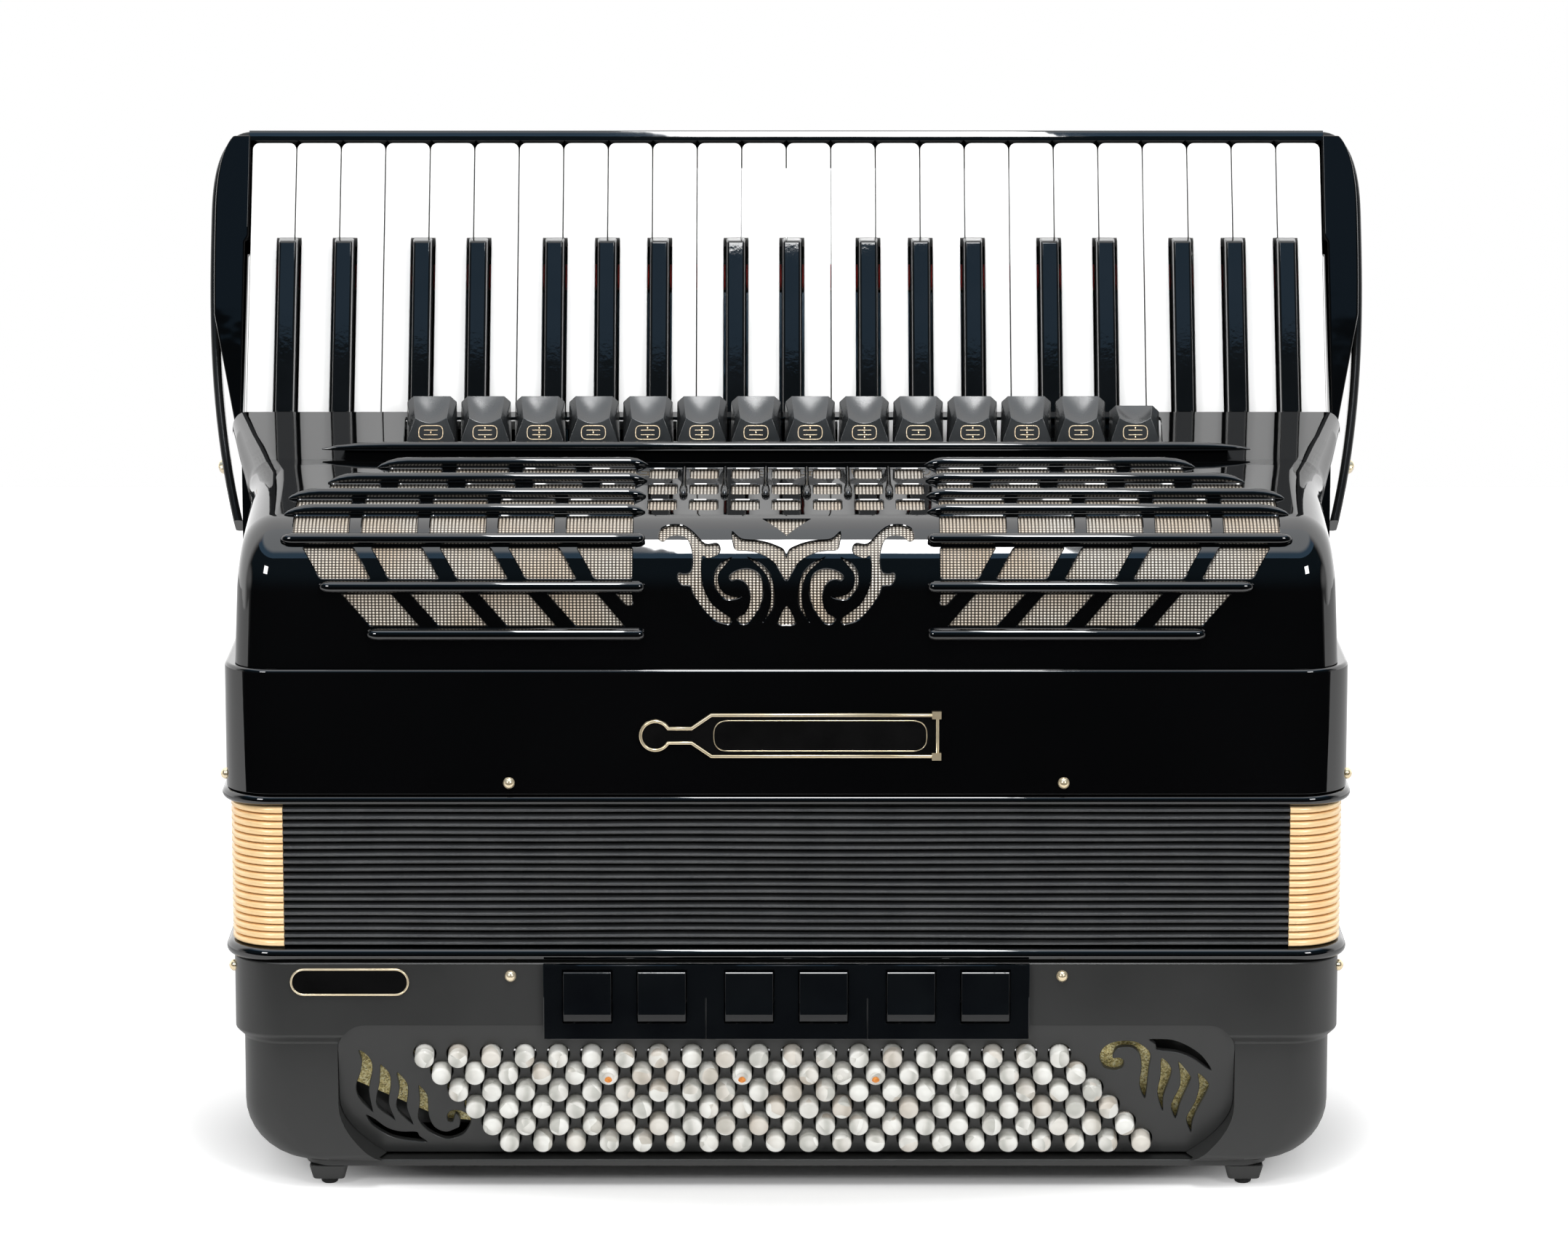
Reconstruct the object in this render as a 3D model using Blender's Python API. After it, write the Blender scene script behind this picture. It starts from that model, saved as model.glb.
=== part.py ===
# Piano accordion with 41 keys and 120 bass buttons, standing on its bass end.
# The keyboard runs along X, the grille faces -Y, and the bellows open along Z.
# The origin is on the floor, under the middle of the bellows.

import math

import bmesh
import bpy
from mathutils import Matrix, Vector

MM = 0.001
GAP = 0.3 * MM
SMOOTH_ANGLE = 40

# Cases and bellows, from the floor up
BODY_DEPTH = 206 * MM
BODY_CORNER = 22 * MM
CORNER_STEPS = 4
CASE_WALL = 5 * MM

FOOT_NUB_HEIGHT = 3 * MM
FOOT_NUB_WIDTH = 7.4 * MM
FOOT_BLOCK_HEIGHT = 6.5 * MM
FOOT_BLOCK_WIDTH = 17 * MM
FOOT_TAPER = 1.7 * MM
FOOT_X = 199 * MM
FOOT_Y = 84 * MM

END_PLATE_THICKNESS = 3 * MM
END_PLATE_WIDTH = 418 * MM
END_PLATE_DEPTH = 186 * MM
END_PLATE_CORNER = 12 * MM

BASS_CASE_HEIGHT = 89.8 * MM
BASS_CASE_WIDTH = 478 * MM
BASS_STEP_INSET = 3.8 * MM
BASS_STEP_HEIGHT = 55.5 * MM
BASS_STEP_SLOPE = 5 * MM
BASS_END_RADIUS = 25 * MM
BASS_FRONT_RADIUS = 4 * MM

BASS_FRAME_HEIGHT = 6.2 * MM
BASS_FRAME_WIDTH = 484.6 * MM
FRAME_WALL = 12 * MM
FRAME_ROUND = 2 * MM

BELLOWS_HEIGHT = 61.8 * MM
BELLOWS_WIDTH = 480.8 * MM
BELLOWS_INSET = 1.2 * MM
BELLOWS_RIBS = 19
BELLOWS_CORNER_STEPS = 2
FOLD_DEPTH = 13 * MM
FOLD_CARD = 4 * MM

TREBLE_FRAME_HEIGHT = 5.1 * MM
TREBLE_FRAME_WIDTH = 486.4 * MM

TREBLE_CASE_HEIGHT = 54.5 * MM
TREBLE_CASE_WIDTH = 482.6 * MM
TREBLE_RIM = 8 * MM
DECK_THICKNESS = 5 * MM
DECK_DROP = 8 * MM

# Grille cover
COVER_WALL = 3 * MM
COVER_FRONT_INSET = 1.6 * MM
COVER_FOOT_WIDTH = 473 * MM
COVER_WAIST_WIDTH = 467.5 * MM
COVER_EAR_WIDTH = 490 * MM
COVER_FRONT_HEIGHT = 33 * MM
COVER_BROW_RADIUS = 30 * MM
COVER_TOP_SLOPE = 9.5
COVER_LEDGE_SLOPE = 33
COVER_DEPTH = 123 * MM
COVER_LEDGE_DEPTH = 26 * MM
COVER_SIDE_RADIUS = 16 * MM
SIDE_STEPS = 4
BROW_STEPS = 4
TRIM = 2 * MM
LIP_HALF_LENGTH = 204 * MM
LIP_DIAMETER = 5 * MM

SLAT_WIDTH = 5 * MM
SLAT_SPACING = 20.5 * MM
LOWEST_SLAT_HEIGHT = 15 * MM
# Inner end of every slat, and outer end of each slat from the lowest to the highest
SLAT_INNER = 60.5 * MM
SLAT_OUTER_ENDS = [179 * MM, 199 * MM, 215.6 * MM, 215 * MM, 214.6 * MM, 199 * MM, 178.6 * MM]

# Outer end at the lower and the upper edge, and the bar's width, for each row from the lowest up
OPENING_ROWS = [
    (177.5 * MM, 190 * MM, 10 * MM),
    (198.7 * MM, 206.6 * MM, 7 * MM),
    (211 * MM, 211 * MM, 4.7 * MM),
    (211 * MM, 211 * MM, 5 * MM),
    (198 * MM, 198 * MM, 7 * MM),
    (173.7 * MM, 173.7 * MM, 5.5 * MM),
]
OPENINGS_IN_ROW = 5
OPENING_PITCH = 29.2 * MM
OPENING_INNER = 65.3 * MM
OPENING_EDGE = 2.2 * MM
OPENING_LEAST = 5 * MM

GRID_COLUMNS = 7
GRID_COLUMN_PITCH = 17.8 * MM
GRID_CELL_WIDTH = 12.8 * MM
GRID_CELL_LENGTH = 14.5 * MM
PIN_DIAMETER = 3.4 * MM
PIN_LENGTH = 41 * MM
GRID_FIRST_ROW = 3
GRID_ROWS = 3

MESH_THICKNESS = 0.8 * MM
MESH_SIDE_CLEARANCE = 1.75 * MM
MESH_EDGE = 8 * MM

# Keyboard
WHITE_KEYS = 24
WHITE_PITCH = 20 * MM
KEY_GAP = 0.5 * MM
KEY_TILT = 27
KEY_COVER_CLEARANCE = 1.3 * MM
KEY_LENGTH = 129 * MM
KEY_THICKNESS = 12 * MM
KEY_CORNER = 3 * MM
KEY_HEAD_LENGTH = 45.2 * MM
KEY_TAIL = 38 * MM
TAIL_WIDTH = 6 * MM
TAIL_START = 2.5 * MM
TAIL_CLEARANCE = 1.2 * MM
BLACK_WIDTH = 9.2 * MM
BLACK_TOP_WIDTH = 7.6 * MM
BLACK_RISE = 8 * MM
BLACK_NOSE = 4 * MM
BLACK_SLOT = 11 * MM
PAIR_SPREAD = 2.5 * MM
TRIPLE_SPREAD = 3.4 * MM
# The black keys stand in these groups, from left to right, with one free boundary between groups
BLACK_KEY_COUNTS = [2, 2, 3, 2, 3, 2, 3]

AXLE_BEHIND = 27 * MM
AXLE_BELOW = 6.5 * MM
AXLE_DIAMETER = 3 * MM
AXLE_HOLE = 3.7 * MM

BED_BELOW = 20 * MM
BED_THICKNESS = 6 * MM
RAIL_GAP = 1.6 * MM
RAIL_WIDTH = 5.4 * MM
RAIL_BELOW = 1.5 * MM
CHEEK_CLEARANCE = 0.8 * MM
BACK_WALL = 5 * MM
SIDE_PLATE = 4.6 * MM
SIDE_PLATE_INSET = 0.3 * MM
FRAME_LAP = 0.8 * MM
WING_THICKNESS = 4 * MM
WING_FRONT = 12 * MM
WING_DEPTH = 15 * MM
WING_BULGE = 17.3 * MM
WING_CORNER = 45 * MM
WING_FOOT = 45 * MM
CHEEK_FOOT = 5 * MM
CHEEK_SPLIT = 47 * MM
CHEEK_BELOW = 1 * MM
BRACKET_FOOT = 31 * MM
BRACKET_LENGTH = 11 * MM
BRACKET_REACH = 16 * MM
BRACKET_THICKNESS = 6 * MM
BACK_STRAIGHT = 24 * MM
BACK_JOIN = 58 * MM

# Treble register switches
SWITCHES = 14
SWITCH_PITCH = 23.85 * MM
SWITCH_BASE = 22.6 * MM
SWITCH_TOP = 19.4 * MM
SWITCH_PRESSED_DROP = 4.5 * MM
SWITCH_BEHIND = 3.6 * MM
SWITCH_DEPTH = 14.2 * MM
SWITCH_RISE = 10.5 * MM
SWITCH_BAR_DROP = 9 * MM
SWITCH_BAR = 4 * MM
SWITCH_CLEARANCE = 0.8 * MM

# Bass button board
BOARD_TILT = 15
BOARD_TOP_Z = 75 * MM
BOARD_TOP_INSET = 0.5 * MM
BOARD_LENGTH = 63 * MM
BOARD_THICKNESS = 2.5 * MM
BOARD_HALF_WIDTH = 193.5 * MM
BOARD_CORNER = 12 * MM
BOARD_FOOT_HALF_WIDTH = 174 * MM
BOARD_CURVE_START = 36 * MM
BUTTON_ROWS = 6
BUTTON_COLUMNS = 20
BUTTON_PITCH = 14.53 * MM
BUTTON_ROW_PITCH = 8.7 * MM
BUTTON_FIRST_ROW = 11.6 * MM
BUTTON_DIAMETER = 8.4 * MM
BUTTON_HOLE = 10.4 * MM
BUTTON_SIDES = 6
BUTTON_RISE = 7 * MM
BUTTON_DOME = 1.6 * MM
BUTTON_BAR_THICKNESS = 2 * MM
NOTE_ROWS = 2
RECESS_BLOCK_DEPTH = 20 * MM

# Bass register switches
PANEL_HALF_WIDTH = 104.2 * MM
PANEL_BOTTOM = 70 * MM
PANEL_THICKNESS = 3.2 * MM
BASS_SWITCH_GROUPS = 3
BASS_SWITCH_GROUP_PITCH = 69.6 * MM
BASS_SWITCH_SPREAD = 16 * MM
BASS_SWITCH_WIDTH = 21.3 * MM
BASS_SWITCH_TOP = 100 * MM
BASS_SWITCH_HEIGHT = 22 * MM
BASS_SWITCH_PROUD = 2.2 * MM
BASS_SWITCH_LIP = 3.4 * MM
WINDOW_CLEARANCE = 0.8 * MM
WINDOW_DROP = 2 * MM

# Bass strap, air button and reed blocks
STRAP_WIDTH = 62 * MM
STRAP_HALF_LENGTH = 168 * MM
STRAP_THICKNESS = 2.2 * MM
STRAP_SAG = 4.6 * MM
AIR_BUTTON_DIAMETER = 12 * MM
AIR_BUTTON_X = 178 * MM
AIR_BUTTON_Z = 45 * MM
AIR_BUTTON_PROUD = 5.5 * MM
REED_BLOCKS = 4
REED_BLOCK_PITCH = 42 * MM
REED_BLOCK_LENGTH = 390 * MM
REED_BLOCK_HEIGHT = 62 * MM
REED_BLOCK_TOP_WIDTH = 28 * MM
REED_BLOCK_TIP_WIDTH = 16 * MM
REED_PLATE = 3 * MM

# Levels, worked out from the heights above
PLATE_BOTTOM = FOOT_NUB_HEIGHT + FOOT_BLOCK_HEIGHT
BASS_CASE_BOTTOM = PLATE_BOTTOM + END_PLATE_THICKNESS + GAP
BASS_CASE_TOP = BASS_CASE_BOTTOM + BASS_CASE_HEIGHT
BASS_FRAME_BOTTOM = BASS_CASE_TOP + GAP
BELLOWS_BOTTOM = BASS_FRAME_BOTTOM + BASS_FRAME_HEIGHT + GAP
TREBLE_FRAME_BOTTOM = BELLOWS_BOTTOM + BELLOWS_HEIGHT + GAP
TREBLE_CASE_BOTTOM = TREBLE_FRAME_BOTTOM + TREBLE_FRAME_HEIGHT + GAP
TREBLE_CASE_TOP = TREBLE_CASE_BOTTOM + TREBLE_CASE_HEIGHT
COVER_BOTTOM = TREBLE_CASE_TOP + GAP
DECK_TOP = TREBLE_CASE_TOP - DECK_DROP
FRONT = -BODY_DEPTH / 2
BACK = BODY_DEPTH / 2
COVER_BACK = FRONT + COVER_DEPTH
COVER_LEDGE_START = COVER_BACK - COVER_LEDGE_DEPTH
SWITCH_BACK_Y = COVER_BACK - SWITCH_BEHIND
SWITCH_FRONT_Y = SWITCH_BACK_Y - SWITCH_DEPTH
MESH_HALF_WIDTH = COVER_WAIST_WIDTH / 2 - COVER_SIDE_RADIUS - MESH_SIDE_CLEARANCE
FRAME_HALF_WIDTH = WHITE_KEYS * WHITE_PITCH / 2 + CHEEK_CLEARANCE + FRAME_LAP
TAIL_LIMIT = FRAME_HALF_WIDTH - SIDE_PLATE_INSET - SIDE_PLATE - TAIL_CLEARANCE - TAIL_WIDTH / 2


def collection(name):
    made = bpy.data.collections.new(name)
    bpy.context.scene.collection.children.link(made)
    return made


def material(name, colour, roughness, metallic=0.0):
    made = bpy.data.materials.new(name)
    made.use_nodes = True
    shader = made.node_tree.nodes["Principled BSDF"]
    shader.inputs["Base Color"].default_value = (*colour, 1.0)
    shader.inputs["Roughness"].default_value = roughness
    shader.inputs["Metallic"].default_value = metallic
    return made


def finish_object(name, bm, surface=None, smooth=None):
    """Turn a bmesh into an object; a piece gets a material, and a cutter or a guide gets none."""
    bmesh.ops.recalc_face_normals(bm, faces=bm.faces)
    mesh = bpy.data.meshes.new(name)
    bm.to_mesh(mesh)
    bm.free()
    made = bpy.data.objects.new(name, mesh)
    if surface is None:
        made.hide_render = True
        made.display_type = "WIRE"
        CUTTERS.objects.link(made)
    else:
        mesh.materials.append(surface)
        PARTS.objects.link(made)
    if smooth is not None:
        mesh.shade_smooth()
        mesh.set_sharp_from_angle(angle=math.radians(smooth))
    return made


def add_prism(bm, outline, height, matrix=Matrix()):
    """Extrude a flat outline, given in the matrix's XY plane, along the matrix's Z."""
    face = bm.faces.new([bm.verts.new((x, y, 0)) for x, y in outline])
    bottom = list(face.verts)
    extruded = bmesh.ops.extrude_face_region(bm, geom=[face])["geom"]
    top = [item for item in extruded if isinstance(item, bmesh.types.BMVert)]
    bmesh.ops.translate(bm, verts=top, vec=(0, 0, height))
    bmesh.ops.transform(bm, matrix=matrix, verts=bottom + top)


def add_box(bm, low, high, matrix=Matrix()):
    size = [high[i] - low[i] for i in range(3)]
    middle = [(high[i] + low[i]) / 2 for i in range(3)]
    place = matrix @ Matrix.Translation(middle) @ Matrix.Diagonal((*size, 1))
    bmesh.ops.create_cube(bm, size=1, matrix=place)


def add_rod(bm, start, end, diameter, sides):
    start = Vector(start)
    end = Vector(end)
    along = end - start
    turn = along.to_track_quat("Z", "X").to_matrix().to_4x4()
    place = Matrix.Translation((start + end) / 2) @ turn
    bmesh.ops.create_cone(
        bm, cap_ends=True, segments=sides, radius1=diameter / 2, radius2=diameter / 2,
        depth=along.length, matrix=place)


def add_loft(bm, rings, closed=False):
    """Skin a list of rings with equal point counts; the ends are capped unless the loft closes."""
    made = [[bm.verts.new(point) for point in ring] for ring in rings]
    pairs = list(zip(made, made[1:]))
    if closed:
        pairs.append((made[-1], made[0]))
    for lower, upper in pairs:
        for i in range(len(lower)):
            j = (i + 1) % len(lower)
            bm.faces.new((lower[i], lower[j], upper[j], upper[i]))
    if not closed:
        bm.faces.new(made[0])
        bm.faces.new(made[-1])


def combine(target, operand, operation):
    cut = target.modifiers.new(operation.title(), "BOOLEAN")
    cut.operation = operation
    cut.object = operand
    cut.solver = "EXACT"
    return cut


def side_plane(x=0.0):
    """Matrix for outlines drawn in the YZ plane, extruded along +X from x."""
    return Matrix(((0, 0, 1, x), (1, 0, 0, 0), (0, 1, 0, 0), (0, 0, 0, 1)))


def rounded_ring(half_x, half_y, radius, z, steps=CORNER_STEPS):
    points = []
    for sx, sy, start in ((1, 1, 0), (-1, 1, 90), (-1, -1, 180), (1, -1, 270)):
        for step in range(steps + 1):
            angle = math.radians(start + 90 * step / steps)
            x = sx * (half_x - radius) + radius * math.cos(angle)
            y = sy * (half_y - radius) + radius * math.sin(angle)
            points.append((x, y, z))
    return points


def inset_ring(width, inset, z, depth_inset=0.0, steps=CORNER_STEPS):
    """Ring of the body's plan shape, drawn in from a width; the corner stays concentric."""
    radius = max(BODY_CORNER - inset, 2 * MM)
    return rounded_ring(width / 2 - inset, BODY_DEPTH / 2 - inset - depth_inset, radius, z, steps)


# Bass end plate with its four feet

def foot_rings(x, y):
    """Rubber nub and tapered block of one foot, from the floor up into the plate."""
    def square(width, z):
        half = width / 2
        return [(x + half, y + half, z), (x - half, y + half, z),
                (x - half, y - half, z), (x + half, y - half, z)]
    tip_width = FOOT_BLOCK_WIDTH - 2 * FOOT_TAPER
    inside_plate = PLATE_BOTTOM + END_PLATE_THICKNESS / 2
    return [square(FOOT_NUB_WIDTH, 0), square(FOOT_NUB_WIDTH, FOOT_NUB_HEIGHT),
            square(tip_width, FOOT_NUB_HEIGHT), square(FOOT_BLOCK_WIDTH, PLATE_BOTTOM),
            square(FOOT_BLOCK_WIDTH, inside_plate)]


def make_end_plate():
    bm = bmesh.new()
    ring = rounded_ring(END_PLATE_WIDTH / 2, END_PLATE_DEPTH / 2, END_PLATE_CORNER, 0)
    outline = [(x, y) for x, y, z in ring]
    add_prism(bm, outline, END_PLATE_THICKNESS, Matrix.Translation((0, 0, PLATE_BOTTOM)))
    plate = finish_object("bass_end_plate", bm, BLACK_SATIN)
    bm = bmesh.new()
    for x in (-FOOT_X, FOOT_X):
        for y in (-FOOT_Y, FOOT_Y):
            add_loft(bm, foot_rings(x, y))
    combine(plate, finish_object("feet_guide", bm), "UNION")


# Bass case: a shell that steps in below, with rounded lower ends and a recess for the buttons

def bass_outer_levels():
    """Height, side inset and front inset of the bass case's outside, from the bottom up."""
    levels = []
    bottom = BASS_CASE_BOTTOM
    for angle in (60, 38, 18, 0):
        a = math.radians(angle)
        z = bottom + BASS_END_RADIUS * (1 - math.sin(a))
        side = BASS_STEP_INSET + BASS_END_RADIUS * (1 - math.cos(a))
        rise = z - bottom
        front = BASS_STEP_INSET
        if rise < BASS_FRONT_RADIUS:
            front += (BASS_FRONT_RADIUS - rise) * 0.8
        levels.append((z, side, front))
    levels[0] = (bottom, levels[0][1], levels[0][2])
    step = bottom + BASS_STEP_HEIGHT
    levels.append((step - BASS_STEP_SLOPE / 2, BASS_STEP_INSET, BASS_STEP_INSET))
    levels.append((step + BASS_STEP_SLOPE / 2, 0.0, 0.0))
    levels.append((BASS_CASE_TOP, 0.0, 0.0))
    return levels


def bass_ring(z, side, front):
    radius = max(BODY_CORNER - min(side, front), 6 * MM)
    return rounded_ring(BASS_CASE_WIDTH / 2 - side, BODY_DEPTH / 2 - front, radius, z)


def board_matrix():
    """Frame of the button board: X along the case, Y down the board, Z out of its face."""
    tilt = math.radians(BOARD_TILT)
    down = Vector((0, math.sin(tilt), -math.cos(tilt)))
    out = Vector((0, -math.cos(tilt), -math.sin(tilt)))
    origin = Vector((0, FRONT + BOARD_TOP_INSET, BOARD_TOP_Z))
    return Matrix((
        (-1, down.x, out.x, origin.x),
        (0, down.y, out.y, origin.y),
        (0, down.z, out.z, origin.z),
        (0, 0, 0, 1)))


def board_outline(grow=0.0, run_out=0.0):
    """Half of the board's outline mirrored: round top corners, sides drawn in towards the foot."""
    half = BOARD_HALF_WIDTH + grow
    foot = BOARD_FOOT_HALF_WIDTH + grow
    radius = BOARD_CORNER + grow
    right = []
    for step in range(4):
        angle = math.radians(90 * step / 3)
        right.append((half - radius + radius * math.sin(angle),
                      -grow + radius * (1 - math.cos(angle))))
    curve = BOARD_LENGTH - BOARD_CURVE_START
    for share in (0.0, 0.45, 0.8, 1.0):
        right.append((half - (half - foot) * share ** 2, BOARD_CURVE_START + curve * share))
    if run_out:
        right.append((foot - run_out * 0.8, BOARD_LENGTH + run_out))
    return right + [(-x, y) for x, y in reversed(right)]


def button_place(row, column):
    x = (column - (BUTTON_COLUMNS - 1) / 2) * BUTTON_PITCH
    x += (row - (BUTTON_ROWS - 1) / 2) * BUTTON_PITCH / 2
    return (-x, BUTTON_FIRST_ROW + row * BUTTON_ROW_PITCH)


def make_bass_case():
    outer = [bass_ring(*level) for level in bass_outer_levels()]
    inner = []
    for z, side, front in reversed(bass_outer_levels()):
        inner.append(bass_ring(z, side + CASE_WALL, front + CASE_WALL))
    bm = bmesh.new()
    add_loft(bm, outer + inner, closed=True)
    case = finish_object("bass_case", bm, BLACK_SATIN, SMOOTH_ANGLE)

    board = board_matrix()
    bm = bmesh.new()
    block_front = FRONT + BASS_STEP_INSET + 1.5 * MM
    add_box(bm, (-BOARD_HALF_WIDTH - CASE_WALL, block_front, BASS_CASE_BOTTOM + 1 * MM),
            (BOARD_HALF_WIDTH + CASE_WALL, block_front + RECESS_BLOCK_DEPTH, BOARD_TOP_Z + CASE_WALL))
    combine(case, finish_object("recess_block_guide", bm), "UNION")

    bm = bmesh.new()
    depth = BOARD_THICKNESS + GAP
    reach = 30 * MM
    add_prism(bm, board_outline(GAP, 12 * MM), reach, board @ Matrix.Translation((0, 0, -depth)))
    combine(case, finish_object("board_recess_cutter", bm), "DIFFERENCE")

    bm = bmesh.new()
    works_half = BUTTON_COLUMNS * BUTTON_PITCH / 2 + BUTTON_ROWS * BUTTON_PITCH / 4 + 4 * MM
    last_row = BUTTON_FIRST_ROW + (BUTTON_ROWS - 1) * BUTTON_ROW_PITCH
    add_box(bm, (-works_half, BUTTON_FIRST_ROW - BUTTON_DIAMETER, -reach - depth),
            (works_half, last_row + BUTTON_DIAMETER, 1 * MM - depth), board)
    combine(case, finish_object("button_works_cutter", bm), "DIFFERENCE")

    bm = bmesh.new()
    low = (-switch_span(), FRONT - 5 * MM, BASS_SWITCH_TOP - BASS_SWITCH_HEIGHT - WINDOW_DROP)
    high = (switch_span(), FRONT + 20 * MM, BASS_SWITCH_TOP + WINDOW_CLEARANCE)
    add_box(bm, low, high)
    button = Vector((AIR_BUTTON_X, BACK, AIR_BUTTON_Z))
    hole = AIR_BUTTON_DIAMETER + 4 * GAP
    add_rod(bm, button + Vector((0, 5 * MM, 0)), button - Vector((0, 15 * MM, 0)), hole, 12)
    combine(case, finish_object("case_opening_cutter", bm), "DIFFERENCE")


def switch_span():
    reach = (BASS_SWITCH_GROUPS - 1) / 2 * BASS_SWITCH_GROUP_PITCH
    return reach + BASS_SWITCH_SPREAD + BASS_SWITCH_WIDTH / 2 + WINDOW_CLEARANCE


def make_button_board():
    board = board_matrix()
    bm = bmesh.new()
    add_prism(bm, board_outline(), BOARD_THICKNESS,
              board @ Matrix.Translation((0, 0, -BOARD_THICKNESS)))
    plate = finish_object("bass_button_board", bm, BLACK_SATIN)
    bm = bmesh.new()
    for row in range(BUTTON_ROWS):
        for column in range(BUTTON_COLUMNS):
            x, y = button_place(row, column)
            add_rod(bm, board @ Vector((x, y, -2 * BOARD_THICKNESS)),
                    board @ Vector((x, y, BOARD_THICKNESS)), BUTTON_HOLE, BUTTON_SIDES)
    combine(plate, finish_object("button_hole_cutter", bm), "DIFFERENCE")


def make_button_bank(name, rows):
    """Buttons of some rows, standing on the bar behind the board that carries them here."""
    board = board_matrix()
    bar_top = -BOARD_THICKNESS - GAP
    bar_bottom = bar_top - BUTTON_BAR_THICKNESS
    corners = []
    edge = BUTTON_ROW_PITCH / 2 - GAP
    for row, shift in ((rows[0], -edge), (rows[-1], edge)):
        for column in (0, BUTTON_COLUMNS - 1):
            x, y = button_place(row, column)
            side = 1 if column == 0 else -1
            corners.append((x + side * BUTTON_DIAMETER / 2, y + shift))
    outline = [corners[0], corners[1], corners[3], corners[2]]
    bm = bmesh.new()
    add_prism(bm, outline, BUTTON_BAR_THICKNESS, board @ Matrix.Translation((0, 0, bar_bottom)))
    bank = finish_object(name, bm, PEARL)
    bm = bmesh.new()
    shoulder = BUTTON_RISE - BUTTON_DOME
    for row in rows:
        for column in range(BUTTON_COLUMNS):
            x, y = button_place(row, column)
            rings = []
            for height, width in ((bar_bottom + BUTTON_BAR_THICKNESS / 2, 1.0), (shoulder, 1.0),
                                  (BUTTON_RISE, 0.6)):
                ring = []
                for i in range(BUTTON_SIDES):
                    angle = 2 * math.pi * (i + 0.5) / BUTTON_SIDES
                    radius = BUTTON_DIAMETER / 2 * width
                    ring.append(board @ Vector((x + radius * math.cos(angle),
                                                y + radius * math.sin(angle), height)))
                rings.append(ring)
            add_loft(bm, rings)
    combine(bank, finish_object(name + "_guide", bm), "UNION")


# Bass register switches

def bass_switch_centres():
    centres = []
    for group in range(BASS_SWITCH_GROUPS):
        middle = (group - (BASS_SWITCH_GROUPS - 1) / 2) * BASS_SWITCH_GROUP_PITCH
        centres += [middle - BASS_SWITCH_SPREAD, middle + BASS_SWITCH_SPREAD]
    return centres


def make_switch_panel():
    back = FRONT - GAP
    bm = bmesh.new()
    add_box(bm, (-PANEL_HALF_WIDTH, back - PANEL_THICKNESS, PANEL_BOTTOM),
            (PANEL_HALF_WIDTH, back, BASS_CASE_TOP - GAP))
    panel = finish_object("bass_switch_panel", bm, BLACK_GLOSS)
    bm = bmesh.new()
    half = BASS_SWITCH_WIDTH / 2 + WINDOW_CLEARANCE
    for x in bass_switch_centres():
        add_box(bm, (x - half, back - 2 * PANEL_THICKNESS,
                     BASS_SWITCH_TOP - BASS_SWITCH_HEIGHT - WINDOW_DROP),
                (x + half, back + PANEL_THICKNESS, BASS_SWITCH_TOP + WINDOW_CLEARANCE))
    combine(panel, finish_object("switch_window_cutter", bm), "DIFFERENCE")


def make_bass_switches():
    """Six tilting switches, joined by the rod behind them."""
    face = FRONT - GAP - PANEL_THICKNESS - BASS_SWITCH_PROUD
    inside = FRONT + 3 * MM
    top = BASS_SWITCH_TOP
    bottom = top - BASS_SWITCH_HEIGHT
    outline = [
        (inside, top), (face + 0.8 * MM, top), (face, top - 1 * MM),
        (face - 0.6 * MM, bottom + BASS_SWITCH_LIP), (face + 0.8 * MM, bottom), (inside, bottom)]
    bm = bmesh.new()
    rod_z = top - 3 * MM
    add_box(bm, (-switch_span() + 2 * MM, inside - 1 * MM, rod_z - 2 * MM),
            (switch_span() - 2 * MM, inside + 3 * MM, rod_z + 2 * MM))
    switches = finish_object("bass_switches", bm, BLACK_GLOSS)
    bm = bmesh.new()
    for x in bass_switch_centres():
        add_prism(bm, outline, BASS_SWITCH_WIDTH, side_plane(x - BASS_SWITCH_WIDTH / 2))
    combine(switches, finish_object("bass_switch_guide", bm), "UNION")


# Bass strap: a flat leather band that hangs a little from two end pads

def make_bass_strap():
    top = PLATE_BOTTOM - GAP
    pad = 14 * MM
    steps = 8
    upper = []
    lower = []
    for i in range(steps + 1):
        share = i / steps
        x = -STRAP_HALF_LENGTH + pad + (2 * STRAP_HALF_LENGTH - 2 * pad) * share
        sag = STRAP_SAG * math.sin(math.pi * share) ** 0.5
        upper.append((x, top - sag))
        lower.append((x, top - sag - STRAP_THICKNESS))
    left = [(-STRAP_HALF_LENGTH, top - STRAP_THICKNESS), (-STRAP_HALF_LENGTH, top)]
    right = [(STRAP_HALF_LENGTH, top), (STRAP_HALF_LENGTH, top - STRAP_THICKNESS)]
    outline = left + upper + right + list(reversed(lower))
    front_plane = Matrix(((1, 0, 0, 0), (0, 0, -1, STRAP_WIDTH / 2), (0, 1, 0, 0), (0, 0, 0, 1)))
    bm = bmesh.new()
    add_prism(bm, outline, STRAP_WIDTH, front_plane)
    finish_object("bass_strap", bm, LEATHER)


def make_air_button():
    bm = bmesh.new()
    face = BACK + AIR_BUTTON_PROUD
    add_rod(bm, (AIR_BUTTON_X, BACK - 2 * CASE_WALL, AIR_BUTTON_Z),
            (AIR_BUTTON_X, face, AIR_BUTTON_Z), AIR_BUTTON_DIAMETER, 16)
    finish_object("air_button", bm, GOLD, SMOOTH_ANGLE)


# Bellows and their two frames

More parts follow.
